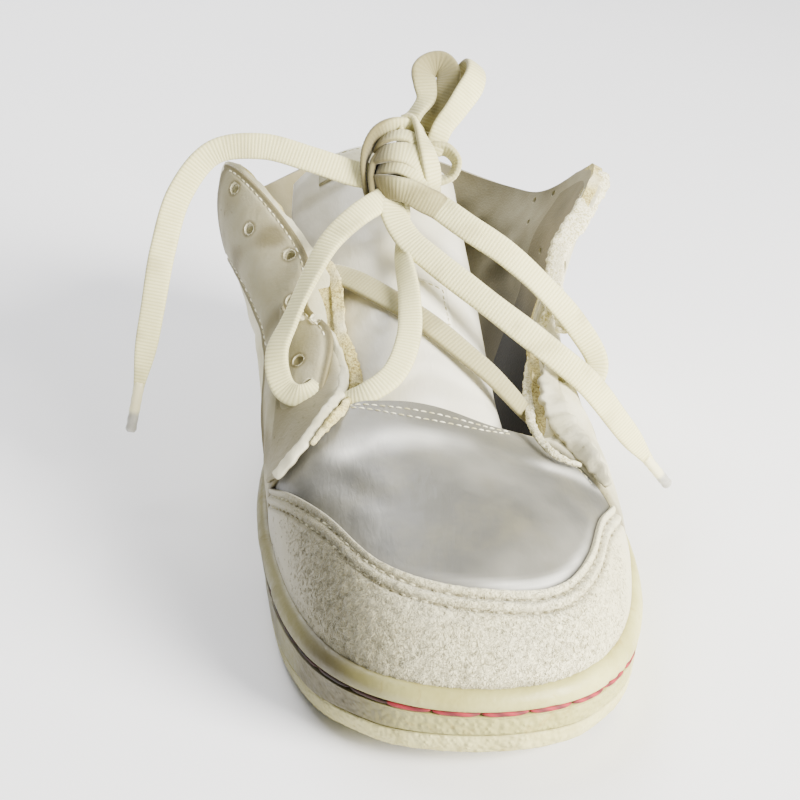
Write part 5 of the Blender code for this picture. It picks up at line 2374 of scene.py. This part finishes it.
class Flaps:
    """The torn throat: foam that shows along both flaps, curled leather edges and a torn leaf."""

    LATERAL_FOAM = (
        (-33, -88, 91), (-27.6, -99.8, 84.3), (-26.9, -110, 78.5), (-26.7, -119, 73.6), (-24.2, -126, 69.5),
        (-22.5, -134, 64.3), (-24.2, -143, 61.6), (-27, -152, 63), (-31.5, -159.9, 62),
        (-35.6, -163.6, 58.6), (-37.6, -164.4, 56.6),
    )
    LATERAL_ROLL = (
        (-43.5, -109, 75.5), (-39.5, -112, 75.4), (-35.9, -114, 73.9), (-30.3, -119, 72.9),
        (-27.4, -126, 68.7), (-26.3, -133, 65.1), (-27.6, -141, 63), (-30, -150, 64), (-33.6, -157.4, 62.6),
        (-38, -162.3, 58.2), (-43, -164.6, 53), (-48, -163.6, 46),
    )
    MEDIAL_FOAM = (
        (45.6, -96, 78.5), (42, -101, 72.4), (37.4, -108, 64.8), (33.8, -119, 58.2), (32.2, -128, 55.2),
        (31.6, -137, 53.4), (30.6, -147, 54), (30.4, -156, 55.2), (31.6, -163, 54.9), (34.6, -167.4, 53.4),
        (38, -169, 52.2), (42, -168.8, 50.6),
    )
    MEDIAL_ROLL = (
        (66.4, -56.6, 106.8), (65.6, -60, 104.6), (61.2, -66, 100.8), (56.4, -73, 96.6), (51.7, -79, 92.5),
        (48.1, -84, 89.4), (46, -89, 85), (45, -94, 80.7), (45.4, -99, 76.4), (46, -104, 73.1),
        (45.4, -110, 69.6),
    )
    LEAF = (
        (40.4, -119, 61.6), (39.6, -124, 60), (38.8, -131, 58.2), (39.3, -139.2, 56.2),
        (40.6, -149.6, 53.8), (43.6, -161, 52.6), (46.6, -168.6, 50.2), (49.2, -175, 47),
    )
    ROOT = ((6.3, 0.80), (6.75, 0.73), (7.2, 0.69), (7.7, 0.62), (8.05, 0.50), (8.3, 0.38))

    def curled(self, closet: Wardrobe) -> None:
        """The lateral flap's leather, which curls up and over the vamp as far as its rolled edge.

        Args:
            closet: The finishes.
        """
        root = np.column_stack([np.linspace(0, 1, len(self.ROOT)), self.ROOT])
        roll = np.column_stack([np.linspace(0, 1, len(self.LATERAL_ROLL)), self.LATERAL_ROLL])

        def bend(along: Array, out: Array) -> Array:
            """Points of the curled leather's middle face.

            Args:
                along: Places along it.
                out: Places out from the flap.

            Returns:
                Rows of x, y and z in millimetres.
            """
            turn, climb = through(root, along).T
            start, end = LAST.at(turn, climb, 1.2), through(roll, along)
            middle = (start + end) / 2 + 2.2 * LAST.normal(turn, climb)
            share = np.asarray(out)[:, None]
            point = (1 - share) ** 2 * start + 2 * share * (1 - share) * middle + share**2 * end
            return point + (0.4 * share[:, 0] * uneven(point, 7, 81))[:, None] * LAST.normal(turn, climb)

        def surface(along: Array, out: Array, lift: Array) -> Array:
            """Points at a lift from the middle face.

            Args:
                along: Places along it.
                out: Places out from the flap.
                lift: Distances outward in millimetres.

            Returns:
                Rows of x, y and z in millimetres.
            """
            ahead = bend(np.minimum(along + 0.01, 1), out) - bend(np.maximum(along - 0.01, 0), out)
            up = bend(along, np.minimum(out + 0.02, 1)) - bend(along, np.maximum(out - 0.02, 0))
            return bend(along, out) + np.asarray(lift)[:, None] * unit(np.cross(ahead, up))

        def thickness(along: Array, out: Array) -> Array:
            """The leather's even thickness."""
            return 1.2 + 0.0 * along

        columns, rows = fringe(0, 1, 120, 75.0), fringe(0, 1, 40, 14.0)
        made = pillow("eyestay_curl_lateral", columns, rows, surface, thickness, -0.6, (75.0, 14.0), 0.6)
        points, out = coordinates(made), read(made, "v")
        specks = 0.7 * ramp(uneven(points, 1.2, 43), 0.7, 1.0)
        # painted shade over the whole curled piece, less toward its rolled outer edge; the specks are dirt
        note(made, "soil_and_shade", np.clip(0.85 + specks - 0.5 * ramp(out, 0.85, 1.0), 0, 1))
        dress(made, "white_leather", closet.leather)
        punch(made, ((7.12, 0.885), (7.62, 0.86)), 1.5)
        soften(made, 55)

    def build(self, closet: Wardrobe) -> None:
        """Builds the strips.

        Args:
            closet: The finishes.
        """
        self.curled(closet)
        foam = {
            "half_width": 2.0, "half_thick": 0.9, "ragged": (0.35, 1.6), "soil_and_shade": (0.5, 0.2, 0.4, 0.1, 0.5),
            "widths": (0.8, 1, 1, 1, 1, 0.9, 0.75, 0.4),
        }
        roll = {"half_width": 1.7, "half_thick": 0.95, "ragged": (0.35, 3.4), "soil_and_shade": (0.3, 0.05, 0.2, 0.1)}
        pad = roll | {
            "half_width": 3.5, "half_thick": 1.5, "ragged": (0.6, 3.4),
            "widths": (0.8, 1, 1.1, 1, 0.9, 0.8, 0.7, 0.7),
        }
        leaf = {
            "half_width": 3.8, "half_thick": 1.3, "ragged": (0.9, 3.6), "soil_and_shade": (0.5, 0.2, 0.1, 0.3, 0.4),
            "widths": (0.55, 0.9, 1, 1, 1, 0.9, 0.7, 0.4),
        }
        thin = foam | {"half_width": 1.5}
        for name, path, finish, rolls, shape in (
            ("throat_foam_lateral", self.LATERAL_FOAM, closet.foam, (10, 10, 0, -10, 0), foam),
            ("throat_roll_lateral", self.LATERAL_ROLL, closet.leather, (40, 30, 20, 30), roll),
            ("throat_foam_medial", self.MEDIAL_FOAM, closet.batting, (20, 10, 0, -10), thin),
            ("throat_roll_medial", self.MEDIAL_ROLL, closet.batting, (-10, 0, 10, 0), pad),
            ("torn_leaf_medial", self.LEAF, closet.leather, (-14, -4, 8, 10), leaf),
        ):
            dress(Band(name, path, rolls, **shape).mesh(), "white_leather", finish)


@dataclass
class Lace(Band):
    """Flat tubular lace with ribs across it and piped edges."""

    rib_high: float = 0.08


# ---- lacing


def on_knot(rows: Sequence) -> list:
    """Turns places on the knot, given across it, up it and out of it, to millimetres in the shoe's frame.

    Args:
        rows: Places in the knot's own terms.

    Returns:
        Points in millimetres.
    """
    middle = np.array((-3.5, -79.0, 113.0))
    up, out = np.array((0.0, 0.41, 0.91)), np.array((0.04, -0.91, 0.41))
    return [tuple(middle + np.array((a, 0, 0)) + b * up + c * out) for a, b, c in rows]


@dataclass
class Lacing:
    """The lace: crossings on the tongue, the bow with loops and ends, and the stretches to the eyelets."""

    width: float = 8.6
    tip_length: float = 17.0
    END_MEDIAL = (
        (-7.4, -84.6, 107.9), (-8.4, -90, 104), (-4.2, -98.3, 97.6), (3, -105.4, 92.8),
        (12.2, -112.4, 87.2), (25, -119.8, 79), (40.4, -124.4, 67.9), (51.7, -126, 58.6), (63.1, -124, 44),
        (72.7, -120, 31.1), (79.6, -117, 21.9), (84, -114.9, 16.2),
    )
    END_LATERAL = (
        (-13.4, -80.2, 112.4), (-20, -79, 113.2), (-34, -76, 117), (-50, -71, 120), (-66, -68, 117),
        (-77, -70, 104), (-83, -74, 86), (-87, -79, 66), (-91, -84, 46), (-95, -90, 27),
    )
    LOOP_LEFT = (
        (-5.2, -72.1, 123.5), (-3.4, -71.1, 126.7), (0.4, -68.3, 130.7), (3.9, -64.8, 134.7),
        (3.7, -61.4, 138.8), (3.4, -58.3, 141.9), (6, -55.9, 143.5), (9.4, -55.8, 143.9),
        (11.5, -57.7, 142), (11.3, -61.1, 138.2), (8.9, -64.1, 133.9), (6, -67.2, 129.6), (3, -70.3, 125),
    )
    LOOP_RIGHT = (
        (4.9, -76.8, 119), (6.7, -76.1, 123.3), (8.8, -74.4, 127.6), (12.2, -72.4, 131.6),
        (15.9, -69.3, 135.9), (19.2, -65.6, 139.8), (20.6, -62.1, 142.8), (20.2, -58, 144),
        (18.5, -55, 142), (16.4, -55.2, 137.9), (12.4, -58, 131.8), (7.9, -62.9, 126.8), (4.5, -69, 123.1),
    )
    RUN_MEDIAL = (
        (3.8, -89.4, 107.2), (14, -97.4, 101.6), (27, -103, 94), (39, -107, 84), (50, -110, 72),
        (57, -114, 60), (53.6, -120.4, 52.8),
    )
    RUN_LATERAL = (
        (-7.9, -83.6, 108.7), (-11.3, -86.7, 107.1), (-19.5, -92.5, 103.8), (-28.7, -98.5, 97),
        (-35.6, -107, 88), (-42.8, -117.5, 76.2), (-46.4, -124, 70), (-46.4, -129, 64.6), (-44.3, -134, 61),
        (-40.4, -137.6, 60.4), (-36.2, -137.2, 61.4), (-33.4, -134.4, 62.4),
    )
    CROSS_UP = (
        (-4.9, -84.6, 107.9), (-4.6, -88.5, 101), (-6, -98, 94), (-5, -115, 85), (-6.5, -131, 76),
        (-12, -142, 69), (-20, -146.5, 65), (-27, -145, 61.5), (-32, -141, 58),
    )
    CROSS_OVER = (
        (-35, -90, 82), (-30, -94, 84.5), (-23, -99.5, 84.6), (-13, -108.5, 82.2), (0, -119.4, 77.4),
        (12, -128.4, 70), (19, -132.4, 65), (25, -134.4, 59.2), (30, -135, 53.6), (34.5, -134.4, 49),
    )

    ENDS = {"medial": END_MEDIAL, "lateral": END_LATERAL}
    # the lace that crosses over the tongue is darkened as painted shade
    OVER = {"soil_and_shade": (0.7, 0.7, 0.65, 0.65, 0.75), "widths": (1, 1, 1, 0.95, 0.8, 0.7)}
    UP = {"widths": (0.8, 0.8, 0.85, 0.9, 0.9, 0.9)}
    HEART = (0, 0, -1)
    # name, path, rolls, widths and the place that the band is turned away from
    KNOT = (
        # outer turn over the top and down the lateral side, seen on edge
        (
            "k0",
            (
                (5, 11, -3), (1.8, 14.4, 0.4), (-4, 15, 1.4), (-9, 12.9, 1.6), (-12.4, 8.3, 1.5),
                (-13.8, 3.2, 1), (-13.7, -1.3, 0), (-12.7, -6.2, -1), (-9.6, -11, -4),
            ),
            (50, 54, 48, 34, 16, 8, 6), (0.75, 0.95, 0.95, 0.85), HEART,
        ),
        (
            "k0b",
            (
                (-7.6, 7, 0.6), (-10.2, 4, 2.2), (-11.3, 0.6, 2.8), (-11.3, -3.2, 2.8), (-10.6, -7.3, 1.8),
                (-7.6, -10.6, -1),
            ),
            (20, 30, 36, 30), (0.6, 0.7, 0.7, 0.6), HEART,
        ),
        # wide upper turn: round the lateral side, over the front and down the medial side
        (
            "k1",
            (
                (-6, 5.6, -3), (-9.4, 5.8, 0.6), (-8.8, 5.6, 4.6), (-5.4, 6.1, 7.3), (0.2, 5.2, 8.2),
                (4.6, 1.4, 7.7), (6.8, -4, 6.2), (8, -8.2, 3.4), (7, -11.4, -0.6),
            ),
            (0, 0, 0, 0, -4, -6, -6), (0.7, 0.8, 0.9, 1, 1.05, 1, 0.9), HEART,
        ),
        # rolled lip of the lower turn, then the turn itself, which runs on down the medial side
        (
            "k2b",
            (
                (-5.6, 0.2, 0), (-8.9, 0.6, 3.6), (-7.5, 1, 7), (-3.7, 0.8, 9.2), (0.6, -1.4, 10),
                (4, -4.8, 9.5), (6.4, -8.6, 8),
            ),
            (-26, -22, -18, -20), (0.5, 0.55, 0.5, 0.45, 0.4), HEART,
        ),
        (
            "k2",
            (
                (-5.4, -4.4, -3), (-9.2, -4.4, 0.6), (-8.5, -4.7, 5.2), (-4.8, -5.7, 8.6), (-0.3, -7, 9.9),
                (4.3, -9.4, 9.8), (8.4, -11.3, 9.2), (12.4, -14.3, 8.2),
            ),
            (0, 0, 0, 2, -6, -18, -24), (0.95, 1, 1, 1, 1, 1, 0.9), HEART,
        ),
        # small fold on top and the strap that comes down from it
        (
            "k4",
            (
                (-9.6, 7.8, -1), (-7.6, 10.6, 2.6), (-3, 12, 4.6), (0.8, 11.2, 5.2), (3, 8, 5.2),
                (4.4, 3.6, 4.4),
            ),
            (6, 10, 14, 10), (0.55, 0.62, 0.6, 0.5), HEART,
        ),
        (
            "k5",
            (
                (-0.4, 9.6, 0.6), (-1.2, 13.6, 0.6), (0.2, 17.4, 0.4), (2.6, 17.2, 1.8), (4.2, 13.2, 4),
                (5.4, 8.8, 6.6), (6.6, 4, 8.2), (7.6, -1, 7.6), (8.2, -5.4, 5.4),
            ),
            (-56, -50, -30, -6, 4, 4), (0.6, 0.62, 0.62, 0.7, 0.8, 0.85, 0.8), HEART,
        ),
        # small loop on the medial side
        (
            "k6",
            (
                (4.6, 7.6, -2), (9.2, 8.4, -0.4), (13.6, 7.8, 0.4), (16.6, 3.8, 0.8), (14.8, -0.8, 1),
                (10.4, -2.2, 1), (5.6, -2, -1),
            ),
            (-34, -30, -24, -22, -30, -44, -50), (0.8, 0.85, 0.8, 0.8, 0.9), (11.4, 3.4, 0),
        ),
    )

    def free(self, lace: Lace, exit_at: tuple, far_end: str, lay: str, pieces: Sequence) -> bpy.types.Object:
        """Args:
            lace: The stretch.
            exit_at: Where it leaves the shoe, in millimetres. Not used.
            far_end: What is on its far end. Not used.
            lay: How it lies. Not used.
            pieces: Pieces that lie on it. Not used.

        Returns:
            The lace.
        """
        made = lace.mesh()
        self.finish(made)
        [tuple(v * MM for v in point) for point in self.centres(lace)]
        return made

    def centres(self, lace: Lace) -> Array:
        """Points along the middle of a stretch."""
        points = lace.middle()[0]
        return points[np.linspace(0, len(points) - 1, 40).astype(int)]

    def finish(self, made: bpy.types.Object) -> None:
        """Dresses a stretch of lace."""
        dress(made, "ivory_lace", self.closet.lace)

    def tip(self, name: str, path: Sequence) -> bpy.types.Object:
        """The clear tip pressed round a lace's end.

        Args:
            name: The piece's name.
            path: The lace whose end it holds.

        Returns:
            The tip.
        """
        rows = np.array(path, float)
        end, ahead = rows[-1], unit(rows[-1] - rows[-2])
        side = unit(np.cross(ahead, TO_VIEWER))
        out = np.cross(side, ahead)
        start, length = -self.tip_length, self.tip_length + 0.3
        nose = [length - 0.6, length - 0.15, length]
        along = np.concatenate([[0, 0.15, 0.6], np.linspace(1.2, length - 1.2, 26), nose])
        radii = np.concatenate([[0, 1.35, 1.62], np.full(26, 1.7), [1.55, 1.2, 0]])
        radii[3:29] *= 1 - 0.035 * np.cos(np.linspace(0, 9 * np.pi, 26))

        def place(step: Array, angle: Array) -> Array:
            """Points of the tip's skin, slightly oval.

            Args:
                step: Row numbers.
                angle: Angles round the section.

            Returns:
                Rows of x, y and z in millimetres.
            """
            index = np.rint(step).astype(int)
            reach, radius = start + along[index], radii[index]
            return (
                end + reach[:, None] * ahead + (radius * np.cos(angle) * 1.06)[:, None] * side
                + (radius * np.sin(angle) * 0.94)[:, None] * out
            )

        made = lattice(name, np.arange(len(along), dtype=float), np.linspace(0, 2 * np.pi, 25), place)
        note(made, "soil_and_shade", ramp(along[np.rint(read(made, "u")).astype(int)], length - 8, length - 5.5))
        weld(made)
        soften(made, 60)
        dress(made, "grey_tip", self.closet.tip)
        return made

    def knot(self) -> bpy.types.Object:
        """The knot: bands of lace wound round each other over the lace's hidden middle.

        Returns:
            The knot's single piece.
        """
        deselect()
        heart = on_knot([self.HEART])[0]
        bpy.ops.mesh.primitive_ico_sphere_add(subdivisions=4, radius=1.0)
        core = bpy.context.object
        ball = coordinates(core) * MM
        ball = ball * np.array((8.6, 6.4, 9.6)) * (1 + 0.05 * uneven(ball * 8, 4, 71))[:, None]
        axes = np.array(((1, 0, 0), (0, -0.91, 0.41), (0, 0.41, 0.91)))
        set_coordinates(core, ball @ axes + np.array((-5.0, -79.4, 112.6)))
        # the core is darkened as painted shade in the gaps between the bands
        note(core, "soil_and_shade", 0.6)
        core.data.shade_smooth()
        bands = [
            Lace(name, on_knot(path), rolls, about=on_knot([about])[0], widths=widths).mesh()
            for name, path, rolls, widths, about in self.KNOT
        ]
        made = join([*bands, core], "lace_knot_bands")
        away = coordinates(made) - np.array(heart)
        # painted shade toward the knot's lateral side and its underside
        shade = 0.2 + 0.75 * ramp(-away[:, 0], 0, 11) + 0.5 * ramp(away @ np.array((0, -0.41, -0.91)), 2, 10)
        note(made, "soil_and_shade", np.clip(read(made, "soil_and_shade") + shade, 0, 1))
        self.finish(made)
        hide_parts("lace_knot")
        return made

    def build(self, closet: Wardrobe) -> None:
        """Builds the whole lace.

        Args:
            closet: The finishes.
        """
        self.closet = closet
        knot = self.knot()
        tips = [self.tip(f"lace_tip_{side}", path) for side, path in self.ENDS.items()]
        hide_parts("aglet_medial")
        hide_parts("aglet_lateral")
        narrow = {"widths": (1, 1, 1, 1, 0.95, 1, 1, 1, 0.95, 0.85, 0.4, 0.36), "ends": (0.6, 0.5)}
        left = {
            # painted shade: the left loop darkens over its top and far leg, the right loop down its back leg
            "about": (7.6, -64.5, 139), "widths": (0.7, 0.8, 0.75, 0.95, 1, 1, 0.95, 0.9, 0.8),
            "soil_and_shade": (0.5, 0.35, 0.4, 0.7, 0.9, 1, 1, 0.9, 0.8),
        }
        right = {
            "about": (13, -60, 134), "widths": (0.75, 0.8, 0.9, 1, 0.85, 0.8, 0.9, 0.85, 0.75),
            "soil_and_shade": (0.5, 0.2, 0.15, 0.15, 0.45, 0.8, 1, 1, 1),
        }
        medial, lateral = {"widths": (1, 1, 1, 1, 0.9, 0.7)}, {"widths": (0.9, 1, 1, 1, 0.9, 0.8)}
        end, back = ("fitting", "hanging"), ("object", "loose")
        for node, path, rolls, shape, held, pieces in (
            ("lace_end_medial", self.END_MEDIAL, (-8, -4, 0, 4, 6, 2, 0, 4, 0), narrow, end, tips[:1]),
            ("lace_end_lateral", self.END_LATERAL, (0, 4, 0, -10, 0, 10, 0, 0), narrow, end, tips[1:]),
            ("lace_loop_left", self.LOOP_LEFT, (-40, -52, -54, -40, -26, -20, -16), left, back, ()),
            ("lace_loop_right", self.LOOP_RIGHT, (0, -6, -10, -8, 0, 10, 16, 20), right, back, ()),
            ("lace_run_medial", self.RUN_MEDIAL, (0, 4, -4, -20, -8, 10, 30), medial, back, [knot]),
            ("lace_run_lateral", self.RUN_LATERAL, (0, 25, 40, 55, 62, 40, 0, -20), lateral, back, ()),
        ):
            made = self.free(Lace(node + "_flat", path, rolls, **shape), path[0], *held, pieces)
            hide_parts(node)
        over, up = (
            Lace(name, path, rolls, Fold.UP, **shape).mesh()
            for name, path, rolls, shape in (
                ("over", self.CROSS_OVER, (0, 6, 0, 0, 4, 12), self.OVER),
                ("up", self.CROSS_UP, (70, 62, 34, 10, -6, -10, 0), self.UP),
            )
        )
        crossings = join([over, up], "lace_crossings_flat")
        self.finish(crossings)
        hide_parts("lace_crossing")


# ---- studio


@dataclass
class Studio:
    """Camera, pale floor and soft light."""

    eye: tuple = (-56.4, -609.4, 269.4)
    aim: tuple = (-5.0, -96.0, 40.0)
    heading: float = 0.94
    tilt: float = 23.93
    roll: float = -0.30
    lens: float = 76.0

    def camera(self) -> None:
        """Places the camera in front of the shoe and above it, and swings it level with the shoe's middle."""
        deselect()
        bpy.ops.object.camera_add(location=[v * MM for v in self.eye])
        made = bpy.context.object
        made.name = "camera"
        made.data.lens, made.data.sensor_width = self.lens, 36.0
        made.data.clip_start, made.data.clip_end = 0.01, 30.0
        heading, tilt = math.radians(self.heading), math.radians(self.tilt)
        level = math.cos(tilt)
        ahead = Vector((math.sin(heading) * level, math.cos(heading) * level, -math.sin(tilt)))
        held = ahead.to_track_quat("-Z", "Y") @ Quaternion((0, 0, 1), math.radians(self.roll))
        swing = ahead.rotation_difference(Vector(self.aim) - Vector(self.eye))
        made.rotation_euler = (swing @ held).to_euler()
        bpy.context.scene.camera = made

    def floor(self, closet: Wardrobe) -> None:
        """A sheet of paper that rises behind the shoe.

        Args:
            closet: The finishes.
        """
        rise = np.array(((-4.0, 0), (1.6, 0), (2.2, 0.06), (2.6, 0.3), (2.8, 0.8), (2.9, 3.4))) * 1000

        def place(x: Array, step: Array) -> Array:
            """Points of the paper."""
            y, z = (np.interp(step, np.arange(len(rise)), side) for side in rise.T)
            return np.column_stack([x, y, z - 0.05])

        made = lattice("studio_paper", np.linspace(-4000, 4000, 9), np.linspace(0, 5, 61), place)
        made.data.shade_smooth()
        made.data.materials.append(closet.paper)
        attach(made, "root")

    def light(
        self, name: str, place: tuple, aim: tuple, size: float, power: float, colour: str = "#ffffff"
    ) -> None:
        """Adds a soft square light.

        Args:
            name: The light's name.
            place: Its place in metres.
            aim: The point it faces.
            size: Its side in metres.
            power: Its power in watts.
            colour: Its colour.
        """
        deselect()
        bpy.ops.object.light_add(type="AREA", location=place)
        made = bpy.context.object
        made.name = made.data.name = name
        made.data.size, made.data.energy = size, power
        made.data.color = linear(colour)[:3]
        made.rotation_euler = (Vector(aim) - Vector(place)).to_track_quat("-Z", "Y").to_euler()

    def lights(self) -> None:
        """A big soft light above to the right, a weaker one on the left, and a bright room."""
        self.light("key", (1.0, -1.0, 0.6), (0, -0.1, 0.05), 0.7, 118, "#fffcf4")
        self.light("top", (-0.4, 0.3, 1.3), (0, -0.15, 0.06), 0.6, 13)
        self.light("back", (-0.2, 1.2, 1.15), (0, -0.1, 0.05), 0.8, 26)
        world = bpy.data.worlds.new("room")
        bpy.context.scene.world = world
        world.use_nodes = True
        world.node_tree.nodes["Background"].inputs["Color"].default_value = linear("#f3f5fa")
        world.node_tree.nodes["Background"].inputs["Strength"].default_value = 0.3

    def build(self, closet: Wardrobe) -> None:
        """Builds the studio."""
        self.floor(closet)
        self.lights()


# ---- the shoe


def main() -> None:
    """Builds the camera, the studio and the shoe's sub-assemblies in order."""
    logging.basicConfig(level=logging.INFO, format="%(message)s")
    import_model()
    studio = Studio()
    studio.camera()
    closet = Wardrobe()
    Lacing().build(closet)
    studio.build(closet)
    Sole().build(closet)
    Shell().build(closet)
    ToeCap().build(closet)
    Leathers().build(closet)
    Tongue().build(closet)
    Flaps().build(closet)


if __name__ == "__main__":
    main()
